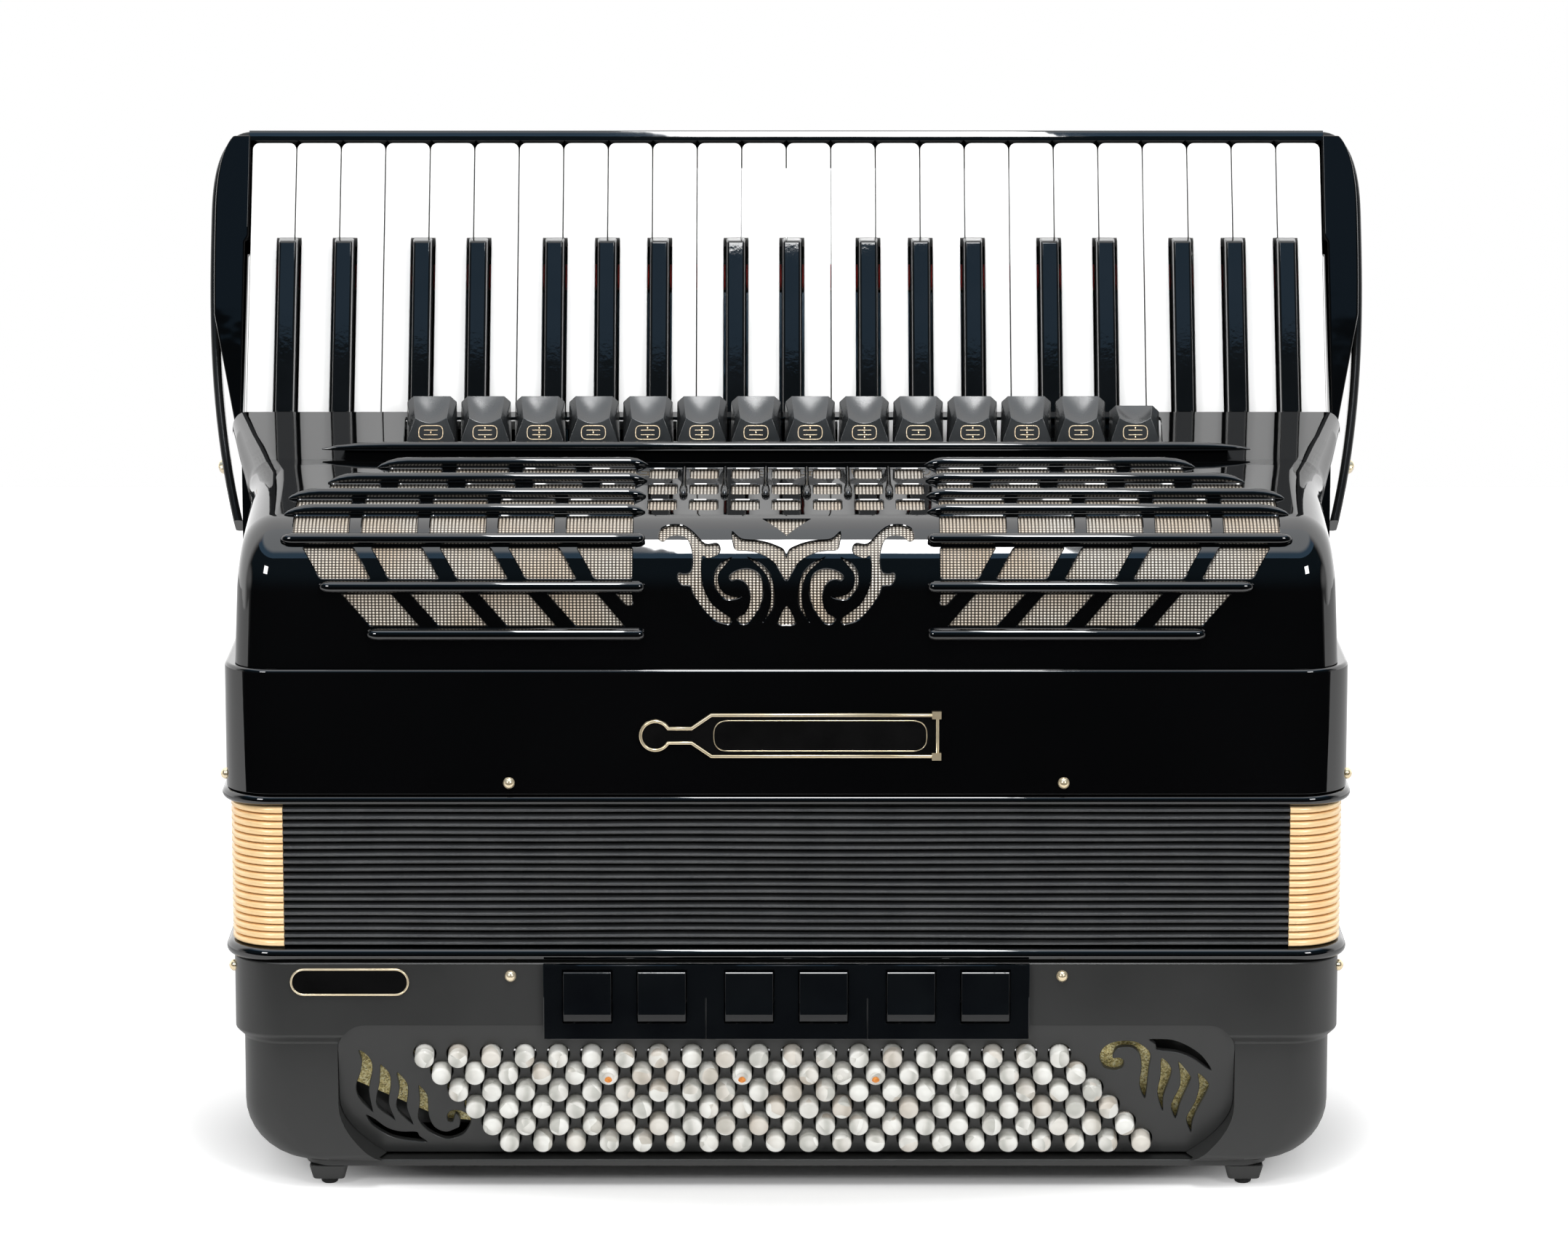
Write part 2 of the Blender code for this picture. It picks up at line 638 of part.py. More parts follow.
def make_bellows_frame(name, width, bottom, height):
    """Wooden ring with a round outer edge, between a case and the bellows."""
    top = bottom + height
    outline = [(FRAME_WALL, bottom), (FRAME_ROUND, bottom), (0.0, bottom + FRAME_ROUND),
               (0.0, top - FRAME_ROUND), (FRAME_ROUND, top), (FRAME_WALL, top)]
    rings = [inset_ring(width, inset, z) for inset, z in outline]
    bm = bmesh.new()
    add_loft(bm, rings, closed=True)
    finish_object(name, bm, BLACK_GLOSS, SMOOTH_ANGLE)


def make_bellows():
    """Pleated tube: out at each rib and in at each fold, with the card's width inside it."""
    half_rib = BELLOWS_HEIGHT / (2 * BELLOWS_RIBS)
    outer = []
    for level in range(2 * BELLOWS_RIBS + 1):
        depth = FOLD_DEPTH if level % 2 == 0 else 0.0
        outer.append((BELLOWS_INSET + depth, BELLOWS_BOTTOM + level * half_rib))
    outer[0] = (BELLOWS_INSET + FOLD_DEPTH / 2, outer[0][1])
    outer[-1] = (BELLOWS_INSET + FOLD_DEPTH / 2, outer[-1][1])
    inner = [(inset + FOLD_CARD, z) for inset, z in reversed(outer)]
    rings = []
    for inset, z in outer + inner:
        rings.append(inset_ring(BELLOWS_WIDTH, inset, z, steps=BELLOWS_CORNER_STEPS))
    bm = bmesh.new()
    add_loft(bm, rings, closed=True)
    finish_object("bellows", bm, TAPE)


# Treble case with the deck that carries the action and the reed blocks

def make_treble_case():
    deck_bottom = DECK_TOP - DECK_THICKNESS
    levels = [
        (CASE_WALL, deck_bottom), (CASE_WALL, TREBLE_CASE_BOTTOM), (0.0, TREBLE_CASE_BOTTOM),
        (0.0, TREBLE_CASE_TOP - 1.2 * MM), (1.2 * MM, TREBLE_CASE_TOP),
        (TREBLE_RIM, TREBLE_CASE_TOP), (TREBLE_RIM, DECK_TOP)]
    rings = [inset_ring(TREBLE_CASE_WIDTH, inset, z) for inset, z in levels]
    bm = bmesh.new()
    add_loft(bm, rings)
    finish_object("treble_case", bm, BLACK_GLOSS, SMOOTH_ANGLE)


def make_reed_blocks():
    top = DECK_TOP - DECK_THICKNESS - GAP
    half_depth = (REED_BLOCKS - 1) / 2 * REED_BLOCK_PITCH + REED_BLOCK_TOP_WIDTH / 2
    half_length = REED_BLOCK_LENGTH / 2
    bm = bmesh.new()
    add_box(bm, (-half_length, -half_depth, top - REED_PLATE), (half_length, half_depth, top))
    plate = finish_object("treble_reed_blocks", bm, WOOD)
    bm = bmesh.new()
    for block in range(REED_BLOCKS):
        y = (block - (REED_BLOCKS - 1) / 2) * REED_BLOCK_PITCH
        tip = top - REED_BLOCK_HEIGHT
        outline = [(y - REED_BLOCK_TOP_WIDTH / 2 + 1 * MM, top - REED_PLATE / 2),
                   (y + REED_BLOCK_TOP_WIDTH / 2 - 1 * MM, top - REED_PLATE / 2),
                   (y + REED_BLOCK_TIP_WIDTH / 2, tip), (y - REED_BLOCK_TIP_WIDTH / 2, tip)]
        length = REED_BLOCK_LENGTH - 4 * MM
        add_prism(bm, outline, length, side_plane(-length / 2))
    combine(plate, finish_object("reed_block_guide", bm), "UNION")


# Grille cover: its section runs up the front, over the brow and back to the switches

def cover_corners():
    """Main points of the cover's outer section: top of the front, end of the brow, ledge, back."""
    slope = math.radians(COVER_TOP_SLOPE)
    front = FRONT + COVER_FRONT_INSET
    brow_z = COVER_BOTTOM + COVER_FRONT_HEIGHT
    brow_y = front + COVER_BROW_RADIUS
    top = Vector((brow_y - COVER_BROW_RADIUS * math.sin(slope),
                  brow_z + COVER_BROW_RADIUS * math.cos(slope)))
    ledge = Vector((COVER_LEDGE_START, top.y + (COVER_LEDGE_START - top.x) * math.tan(slope)))
    rise = (COVER_BACK - COVER_LEDGE_START) * math.tan(math.radians(COVER_LEDGE_SLOPE))
    back = Vector((COVER_BACK, ledge.y + rise))
    return front, brow_z, top, ledge, back


def cover_point(length):
    """Place (y, z) and outward normal at a length along the section, from the front seam."""
    front, brow_z, _, _, _ = cover_corners()
    sweep = math.radians(90 - COVER_TOP_SLOPE)
    if length <= COVER_FRONT_HEIGHT:
        return Vector((front, COVER_BOTTOM + length)), Vector((-1, 0))
    past = length - COVER_FRONT_HEIGHT
    angle = min(past / COVER_BROW_RADIUS, sweep)
    normal = Vector((-math.cos(angle), math.sin(angle)))
    centre = Vector((front + COVER_BROW_RADIUS, brow_z))
    place = centre + normal * COVER_BROW_RADIUS
    past -= COVER_BROW_RADIUS * sweep
    if past > 0:
        place = place + Vector((normal.y, -normal.x)) * past
    return place, normal


def cover_section(extend):
    """Places of the section's points and the way each moves when the section shrinks by one."""
    front, _, _, ledge, back = cover_corners()
    sweep = math.radians(90 - COVER_TOP_SLOPE)
    points = [(Vector((front, COVER_BOTTOM - extend)), Vector((-1, 0)))]
    for step in range(BROW_STEPS + 1):
        points.append(cover_point(COVER_FRONT_HEIGHT + COVER_BROW_RADIUS * sweep * step / BROW_STEPS))
    steep = math.radians(COVER_LEDGE_SLOPE)
    ledge_normal = Vector((-math.sin(steep), math.cos(steep)))
    mitre = points[-1][1] + ledge_normal
    points.append((ledge, mitre / (1 + points[-1][1].dot(ledge_normal))))
    points.append((back + Vector((1, math.tan(steep))) * extend, Vector((0, 1 / math.cos(steep)))))
    points.append((Vector((COVER_BACK + extend, COVER_BOTTOM - extend)), Vector((0, 0))))
    return points


def cover_half_width(y, z):
    """Half width of the cover: drawn in at the waist and flared to the ears at the back."""
    foot = COVER_FOOT_WIDTH / 2
    waist = COVER_WAIST_WIDTH / 2
    ear = COVER_EAR_WIDTH / 2
    rise = min(1.0, (z - COVER_BOTTOM) / (COVER_FRONT_HEIGHT + COVER_BROW_RADIUS))
    half = foot + (waist - foot) * max(rise, 0.0)
    flare_start = COVER_LEDGE_START - COVER_SIDE_RADIUS
    if y > flare_start:
        share = (y - flare_start) / (COVER_BACK - flare_start)
        half += (ear - half) * min(share, 1.1)
    return half


def make_cover_solid(wall, extend):
    """Closed solid inside the cover's outer surface by a wall, with rounded sides."""
    radius = COVER_SIDE_RADIUS - wall
    rings = []
    for step in range(-SIDE_STEPS, SIDE_STEPS + 2):
        side = -1 if step <= 0 else 1
        angle = math.radians(90 * (-step if step <= 0 else step - 1) / SIDE_STEPS)
        edge = wall + radius * (1 - math.sin(angle))
        inset = wall + radius * (1 - math.cos(angle))
        ring = []
        for place, normal in cover_section(extend):
            half = cover_half_width(place.x, place.y)
            moved = place - normal * inset
            ring.append(Vector((side * (half - edge), moved.x, moved.y)))
        rings.append(ring)
    bm = bmesh.new()
    add_loft(bm, rings)
    bmesh.ops.connect_verts_nonplanar(bm, angle_limit=math.radians(0.2), faces=bm.faces)
    return bm


def surface_block(x_low, x_high, low, high, above, below):
    """Rings of a block across the cover's wall, between two lengths along the section."""
    rings = []
    for length, (x_in, x_out) in ((low, x_low), (high, x_high)):
        place, normal = cover_point(length)
        ring = []
        for x, off in ((x_in, above), (x_out, above), (x_out, -below), (x_in, -below)):
            ring.append(Vector((x, place.x + normal.x * off, place.y + normal.y * off)))
        rings.append(ring)
    return rings


def slat_length(index):
    return LOWEST_SLAT_HEIGHT + index * SLAT_SPACING


def make_cover_openings():
    """Rows of slanted windows between the slats, and the grid of small ones in the middle."""
    bm = bmesh.new()
    above = 6 * MM
    below = 2.4 * COVER_WALL
    clear = SLAT_WIDTH / 2 + OPENING_EDGE
    for row, (outer_low, outer_high, bar) in enumerate(OPENING_ROWS):
        low = slat_length(row) + clear
        high = slat_length(row + 1) - clear
        for index in range(OPENINGS_IN_ROW):
            ends = []
            for outer in (outer_low, outer_high):
                start = outer - index * OPENING_PITCH
                stop = max(start - OPENING_PITCH + bar, OPENING_INNER)
                if index == OPENINGS_IN_ROW - 1:
                    stop = OPENING_INNER
                ends.append((start, stop))
            if min(start - stop for start, stop in ends) < OPENING_LEAST:
                continue
            for side in (-1, 1):
                x_low = (side * ends[0][0], side * ends[0][1])
                x_high = (side * ends[1][0], side * ends[1][1])
                add_loft(bm, surface_block(x_low, x_high, low, high, above, below))
    for row in range(GRID_FIRST_ROW, GRID_FIRST_ROW + GRID_ROWS):
        middle = slat_length(row) + SLAT_SPACING / 2
        low = middle - GRID_CELL_LENGTH / 2
        high = middle + GRID_CELL_LENGTH / 2
        for column in range(GRID_COLUMNS):
            x = (column - (GRID_COLUMNS - 1) / 2) * GRID_COLUMN_PITCH
            ends = (x - GRID_CELL_WIDTH / 2, x + GRID_CELL_WIDTH / 2)
            add_loft(bm, surface_block(ends, ends, low, high, above, below))
    return finish_object("opening_cutter", bm)


def make_cover_slats():
    """Round bars that stand on the cover: slats, the pins of the grid and the ledge's lip."""
    bm = bmesh.new()
    for index, outer in enumerate(SLAT_OUTER_ENDS):
        place, normal = cover_point(slat_length(index))
        centre = place + normal * SLAT_WIDTH * 0.15
        for side in (-1, 1):
            add_rod(bm, (side * SLAT_INNER, centre.x, centre.y),
                    (side * outer, centre.x, centre.y), SLAT_WIDTH, 8)
    for column in range(GRID_COLUMNS - 1):
        x = (column - (GRID_COLUMNS - 2) / 2) * GRID_COLUMN_PITCH
        low, normal = cover_point(slat_length(GRID_FIRST_ROW + GRID_ROWS) - PIN_LENGTH)
        high, normal = cover_point(slat_length(GRID_FIRST_ROW + GRID_ROWS))
        lift = normal * PIN_DIAMETER * 0.2
        add_rod(bm, (x, low.x + lift.x, low.y + lift.y), (x, high.x + lift.x, high.y + lift.y),
                PIN_DIAMETER, 8)
    ledge = cover_corners()[3]
    add_rod(bm, (-LIP_HALF_LENGTH, ledge.x, ledge.y), (LIP_HALF_LENGTH, ledge.x, ledge.y),
            LIP_DIAMETER, 8)
    return finish_object("slat_guide", bm)


def switch_x(index):
    return (index - (SWITCHES - 1) / 2) * SWITCH_PITCH


def ledge_height(y):
    ledge = cover_corners()[3]
    return ledge.y + (y - ledge.x) * math.tan(math.radians(COVER_LEDGE_SLOPE))


def make_grille_cover():
    cover = finish_object("grille_cover", make_cover_solid(0.0, 0.0), BLACK_GLOSS, SMOOTH_ANGLE)
    inside = finish_object("cover_inside_cutter", make_cover_solid(COVER_WALL, TRIM))
    combine(cover, inside, "DIFFERENCE")
    combine(cover, make_cover_slats(), "UNION")
    combine(cover, make_cover_openings(), "DIFFERENCE")
    bm = bmesh.new()
    reach = switch_x(SWITCHES - 1) + SWITCH_BASE / 2 + SWITCH_CLEARANCE
    floor = ledge_height(SWITCH_FRONT_Y) - 3 * COVER_WALL
    add_box(bm, (-reach, SWITCH_FRONT_Y - SWITCH_CLEARANCE, floor),
            (reach, SWITCH_BACK_Y + SWITCH_CLEARANCE, ledge_height(COVER_BACK) + COVER_WALL))
    combine(cover, finish_object("switch_slot_cutter", bm), "DIFFERENCE")


def make_grille_mesh():
    """Woven sheet that lies against the inside of the cover, behind the openings."""
    _, _, top, ledge, _ = cover_corners()
    sweep = math.radians(90 - COVER_TOP_SLOPE)
    lengths = [MESH_EDGE]
    for step in range(BROW_STEPS + 1):
        lengths.append(COVER_FRONT_HEIGHT + COVER_BROW_RADIUS * sweep * step / BROW_STEPS)
    lengths.append(lengths[-1] + (ledge - top).length - MESH_EDGE)
    outer = []
    inner = []
    for length in lengths:
        place, normal = cover_point(length)
        face = place - normal * (COVER_WALL + GAP)
        outer.append(tuple(face))
        inner.append(tuple(face - normal * MESH_THICKNESS))
    bm = bmesh.new()
    add_prism(bm, outer + inner[::-1], 2 * MESH_HALF_WIDTH, side_plane(-MESH_HALF_WIDTH))
    finish_object("grille_mesh", bm, MESH_METAL, SMOOTH_ANGLE)


def make_treble_switches():
    """Register switches on one bar; the last one stands pressed, as it was left."""
    middle = (SWITCH_FRONT_Y + SWITCH_BACK_Y) / 2
    bar_top = ledge_height(middle) - SWITCH_BAR_DROP
    reach = switch_x(SWITCHES - 1) + SWITCH_BASE / 2 - 1 * MM
    bm = bmesh.new()
    add_box(bm, (-reach, middle - SWITCH_BAR, bar_top - SWITCH_BAR),
            (reach, middle + SWITCH_BAR, bar_top))
    bank = finish_object("treble_switches", bm, BLACK_GLOSS)
    bm = bmesh.new()
    for index in range(SWITCHES):
        x = switch_x(index)
        drop = SWITCH_PRESSED_DROP if index == SWITCHES - 1 else 0.0
        rings = []
        levels = (
            (SWITCH_BASE, SWITCH_FRONT_Y, bar_top - SWITCH_BAR / 2,
             SWITCH_BACK_Y, bar_top - SWITCH_BAR / 2),
            (SWITCH_BASE, SWITCH_FRONT_Y, ledge_height(SWITCH_FRONT_Y),
             SWITCH_BACK_Y, ledge_height(SWITCH_BACK_Y)),
            (SWITCH_TOP, SWITCH_FRONT_Y + 2.6 * MM, ledge_height(SWITCH_FRONT_Y) + SWITCH_RISE - drop,
             SWITCH_BACK_Y - 1.4 * MM, ledge_height(SWITCH_BACK_Y) + SWITCH_RISE - drop))
        for width, front_y, front_z, back_y, back_z in levels:
            half = width / 2
            rings.append([(x - half, front_y, front_z), (x + half, front_y, front_z),
                          (x + half, back_y, back_z), (x - half, back_y, back_z)])
        add_loft(bm, rings)
    combine(bank, finish_object("treble_switch_guide", bm), "UNION")


# Keyboard: its own frame has X along the keys, Y from the cover to the fronts, Z out of the keys

def keyboard_matrix():
    tilt = math.radians(KEY_TILT)
    back = cover_corners()[4]
    under = COVER_WALL / math.cos(math.radians(COVER_LEDGE_SLOPE))
    origin = Vector((0, back.x + (BLACK_RISE + KEY_COVER_CLEARANCE) / math.cos(tilt),
                     back.y - under))
    along = Vector((0, math.sin(tilt), math.cos(tilt)))
    out = Vector((0, -math.cos(tilt), math.sin(tilt)))
    return Matrix((
        (1, along.x, out.x, origin.x),
        (0, along.y, out.y, origin.y),
        (0, along.z, out.z, origin.z),
        (0, 0, 0, 1)))


def axle_point():
    return keyboard_matrix() @ Vector((0, -AXLE_BEHIND, -AXLE_BELOW))


def black_centres():
    """Boundary number and centre of each black key, from left to right."""
    centres = []
    boundary = 0
    for group in BLACK_KEY_COUNTS:
        for place in range(group):
            boundary += 1
            spread = PAIR_SPREAD if group == 2 else TRIPLE_SPREAD
            shift = (2 * place / (group - 1) - 1) * spread
            centres.append((boundary, (boundary - WHITE_KEYS / 2) * WHITE_PITCH + shift))
        boundary += 1
    return centres


def move_origin(piece, point):
    piece.data.transform(Matrix.Translation(-point))
    piece.location = point


def bore_for_axle(key, x):
    bm = bmesh.new()
    axle = axle_point()
    half = WHITE_PITCH
    add_rod(bm, (x - half, axle.y, axle.z), (x + half, axle.y, axle.z), AXLE_HOLE, 6)
    combine(key, finish_object(key.name + "_bore_cutter", bm), "DIFFERENCE")


def make_white_key(index, blacks):
    left = (index - WHITE_KEYS / 2) * WHITE_PITCH + KEY_GAP / 2
    right = left + WHITE_PITCH - KEY_GAP
    stem_left = left
    stem_right = right
    if index in blacks:
        stem_left = blacks[index] + BLACK_SLOT / 2
    if index + 1 in blacks:
        stem_right = blacks[index + 1] - BLACK_SLOT / 2
    middle = (stem_left + stem_right) / 2
    middle = max(-TAIL_LIMIT, min(TAIL_LIMIT, middle))
    shoulder = KEY_LENGTH - KEY_HEAD_LENGTH
    nip = KEY_CORNER * 0.3
    outline = [
        (middle - TAIL_WIDTH / 2, -KEY_TAIL), (middle + TAIL_WIDTH / 2, -KEY_TAIL),
        (middle + TAIL_WIDTH / 2, -TAIL_START), (stem_right, -TAIL_START)]
    if stem_right < right:
        outline += [(stem_right, shoulder), (right, shoulder)]
    outline += [
        (right, KEY_LENGTH - KEY_CORNER), (right - nip, KEY_LENGTH - nip),
        (right - KEY_CORNER, KEY_LENGTH), (left + KEY_CORNER, KEY_LENGTH),
        (left + nip, KEY_LENGTH - nip), (left, KEY_LENGTH - KEY_CORNER)]
    if stem_left > left:
        outline += [(left, shoulder), (stem_left, shoulder)]
    outline += [(stem_left, -TAIL_START), (middle - TAIL_WIDTH / 2, -TAIL_START)]
    bm = bmesh.new()
    add_prism(bm, outline, KEY_THICKNESS,
              keyboard_matrix() @ Matrix.Translation((0, 0, -KEY_THICKNESS)))
    key = finish_object(f"white_key_{index + 1:02d}", bm, IVORY)
    bore_for_axle(key, middle)
    move_origin(key, axle_point() + Vector((middle, 0, 0)))


def make_black_key(number, x):
    shoulder = KEY_LENGTH - KEY_HEAD_LENGTH - KEY_GAP
    board = keyboard_matrix()
    rings = []
    levels = ((-KEY_THICKNESS, BLACK_WIDTH, shoulder), (0.5 * MM, BLACK_WIDTH, shoulder),
              (BLACK_RISE, BLACK_TOP_WIDTH, shoulder - BLACK_NOSE))
    for height, width, front in levels:
        half = width / 2
        corners = ((x - half, -1 * MM), (x + half, -1 * MM), (x + half, front), (x - half, front))
        rings.append([board @ Vector((a, b, height)) for a, b in corners])
    bm = bmesh.new()
    add_loft(bm, rings)
    key = finish_object(f"black_key_{number:02d}", bm, EBONY)
    bm = bmesh.new()
    add_box(bm, (x - TAIL_WIDTH / 2, -KEY_TAIL, -KEY_THICKNESS + 1 * MM),
            (x + TAIL_WIDTH / 2, TAIL_START, -1 * MM), board)
    combine(key, finish_object(key.name + "_tail_guide", bm), "UNION")
    bore_for_axle(key, x)
    move_origin(key, axle_point() + Vector((x, 0, 0)))


def make_keys():
    centres = black_centres()
    blacks = dict(centres)
    for index in range(WHITE_KEYS):
        make_white_key(index, blacks)
    for number, (boundary, x) in enumerate(centres):
        make_black_key(number + 1, x)


def make_key_axle():
    axle = axle_point()
    half = WHITE_KEYS * WHITE_PITCH / 2 + CHEEK_CLEARANCE
    bm = bmesh.new()
    add_rod(bm, (-half, axle.y, axle.z), (half, axle.y, axle.z), AXLE_DIAMETER, 12)
    finish_object("key_axle", bm, STEEL, SMOOTH_ANGLE)


def wing_bulge(along, top, bulge):
    """How far the wing stands out beside the keys: a long swell, then a round top corner."""
    crown = top - WING_CORNER
    if along < crown:
        share = (along + WING_FOOT) / (crown + WING_FOOT)
        return bulge * (1 - (1 - share) ** 2.6)
    share = min((along - crown) / WING_CORNER, 1.0)
    return bulge * (1 - share ** 2.6) ** (1 / 2.6)


def wing_edge(thickness):
    """Points (x, along) of the wing's outline, moved in by a thickness."""
    keys_half = WHITE_KEYS * WHITE_PITCH / 2
    top = KEY_LENGTH + RAIL_GAP + RAIL_WIDTH - thickness
    bulge = WING_BULGE - thickness
    points = []
    crown = top - WING_CORNER
    for step in range(6):
        along = -WING_FOOT + (crown + WING_FOOT) * step / 6
        points.append((keys_half + wing_bulge(along, top, bulge), along))
    for step in range(7):
        along = crown + WING_CORNER * math.sin(math.radians(90 * step / 6))
        points.append((keys_half + wing_bulge(along, top, bulge), along))
    return points


def mirrored_prisms(bm, outline, height, matrix):
    add_prism(bm, outline, height, matrix)
    add_prism(bm, [(-x, y) for x, y in reversed(outline)], height, matrix)


def back_curve(offset):
    """Back wall (y, z) from the case up to the bed, moved inwards by an offset."""
    board = keyboard_matrix()
    start = Vector((BACK, COVER_BOTTOM))
    bend = Vector((BACK, COVER_BOTTOM + BACK_STRAIGHT))
    join = board @ Vector((0, BACK_JOIN - offset, -BED_BELOW - BED_THICKNESS))
    join = Vector((join.y, join.z))
    pull = bend + Vector((0, (join.y - bend.y) * 0.45))
    points = [start - Vector((offset, 0))]
    for step in range(6):
        t = step / 5
        point = bend * (1 - t) ** 2 + pull * 2 * t * (1 - t) + join * t ** 2
        points.append(point - Vector((offset * (1 - t), 0)))
    return points


def make_keyboard_frame():
    """Bed, front rail, back wall, side plates, cheeks and wings that carry the keys."""
    board = keyboard_matrix()
    keys_half = WHITE_KEYS * WHITE_PITCH / 2
    inner_x = keys_half + CHEEK_CLEARANCE
    outer_x = FRAME_HALF_WIDTH

    def place(along, out):
        point = board @ Vector((0, along, out))
        return (point.y, point.z)

    bed_top = -BED_BELOW
    bed_back = -BED_BELOW - BED_THICKNESS
    rail = KEY_LENGTH + RAIL_GAP
    outer = [tuple(point) for point in back_curve(0.0)]
    inner = [tuple(point) for point in back_curve(BACK_WALL)]
    bed_end = -KEY_TAIL
    outline = outer + [
        place(rail + RAIL_WIDTH, bed_back), place(rail + RAIL_WIDTH, -RAIL_BELOW),
        place(rail, -RAIL_BELOW), place(rail, bed_top), place(bed_end, bed_top),
        place(bed_end, bed_back)] + inner[::-1]
    bm = bmesh.new()
    add_prism(bm, outline, 2 * outer_x, side_plane(-outer_x))
    frame = finish_object("keyboard_frame", bm, BLACK_GLOSS, SMOOTH_ANGLE)

    front = COVER_BACK + 2 * GAP
    under_keys = place(-TAIL_START - 1.5 * MM, -1 * MM)
    tilt = math.tan(math.radians(KEY_TILT))
    front_top = under_keys[1] - (under_keys[0] - front) / tilt
    plate = [(front, COVER_BOTTOM), (BACK - 1 * MM, COVER_BOTTOM)]
    plate += [(y - 1 * MM, z) for y, z in outer[1:]]
    plate += [place(BACK_JOIN, bed_top - 1 * MM), place(-TAIL_START - 1.5 * MM, bed_top - 1 * MM),
              under_keys, (front, front_top)]
    bm = bmesh.new()
    for x in (-outer_x + SIDE_PLATE_INSET, outer_x - SIDE_PLATE_INSET - SIDE_PLATE):
        add_prism(bm, plate, SIDE_PLATE, side_plane(x))
    combine(frame, finish_object("side_plate_guide", bm), "UNION")
    bm = bmesh.new()
    axle = axle_point()
    reach = outer_x + 1 * MM
    add_rod(bm, (-reach, axle.y, axle.z), (reach, axle.y, axle.z), AXLE_HOLE, 12)
    combine(frame, finish_object("axle_hole_cutter", bm), "DIFFERENCE")

    skin = 1 * MM
    cheek = [(inner_x, -TAIL_START), (keys_half + CHEEK_FOOT, -TAIL_START)]
    follow = [(x - skin, y) for x, y in wing_edge(WING_THICKNESS / 2)
              if CHEEK_SPLIT < y < rail + RAIL_WIDTH / 2]
    cheek += follow + [(inner_x, rail + RAIL_WIDTH / 2)]
    bm = bmesh.new()
    mirrored_prisms(bm, cheek, BED_BELOW + 3 * MM - CHEEK_BELOW,
                    board @ Matrix.Translation((0, 0, -BED_BELOW - 3 * MM)))
    combine(frame, finish_object("cheek_guide", bm), "UNION")

    wing = wing_edge(0.0) + wing_edge(WING_THICKNESS)[::-1]
    bm = bmesh.new()
    mirrored_prisms(bm, wing, WING_DEPTH, board @ Matrix.Translation((0, 0, -WING_FRONT - WING_DEPTH)))
    wings = finish_object("wing_guide", bm)
    bm = bmesh.new()
    level = -WING_FRONT - (WING_DEPTH - BRACKET_THICKNESS) / 2
    for side in (-1, 1):
        ends = sorted((side * (keys_half + WING_THICKNESS), side * (keys_half + BRACKET_REACH)))
        add_box(bm, (ends[0], -BRACKET_FOOT, level - BRACKET_THICKNESS),
                (ends[1], -BRACKET_FOOT + BRACKET_LENGTH, level), board)
    combine(wings, finish_object("strap_bracket_guide", bm), "UNION")
    combine(frame, wings, "UNION")


def main():
    make_end_plate()
    make_bass_case()
    make_button_board()
    make_button_bank("bass_note_buttons", list(range(NOTE_ROWS)))
    make_button_bank("chord_buttons", list(range(NOTE_ROWS, BUTTON_ROWS)))
    make_switch_panel()
    make_bass_switches()
    make_bass_strap()
    make_air_button()
    make_bellows_frame("bass_bellows_frame", BASS_FRAME_WIDTH, BASS_FRAME_BOTTOM,
                       BASS_FRAME_HEIGHT)
    make_bellows()
    make_bellows_frame("treble_bellows_frame", TREBLE_FRAME_WIDTH, TREBLE_FRAME_BOTTOM,
                       TREBLE_FRAME_HEIGHT)
    make_treble_case()
    make_reed_blocks()
    make_grille_cover()
    make_grille_mesh()
    make_treble_switches()
    make_keyboard_frame()
    make_key_axle()
    make_keys()


for old in list(bpy.data.objects):
    bpy.data.objects.remove(old, do_unlink=True)
PARTS = collection("piano_accordion")
CUTTERS = collection("cutters")
BLACK_GLOSS = material("black_lacquer", (0.012, 0.012, 0.014), 0.12)
BLACK_SATIN = material("black_satin", (0.035, 0.035, 0.038), 0.38)
PEARL = material("pearl", (0.85, 0.84, 0.8), 0.25)
IVORY = material("key_white", (0.93, 0.93, 0.92), 0.18)
EBONY = material("key_black", (0.015, 0.015, 0.018), 0.15)
GOLD = material("gold", (0.85, 0.62, 0.28), 0.25, 1.0)
TAPE = material("bellows_tape", (0.02, 0.02, 0.02), 0.6)
LEATHER = material("leather", (0.02, 0.018, 0.016), 0.55)
STEEL = material("steel", (0.6, 0.6, 0.6), 0.3, 1.0)
WOOD = material("reed_block_wood", (0.55, 0.38, 0.22), 0.6)
MESH_METAL = material("woven_mesh", (0.6, 0.52, 0.38), 0.4, 0.8)
main()
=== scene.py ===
import math

import bmesh
import bpy
from mathutils import Matrix, Vector, geometry, noise


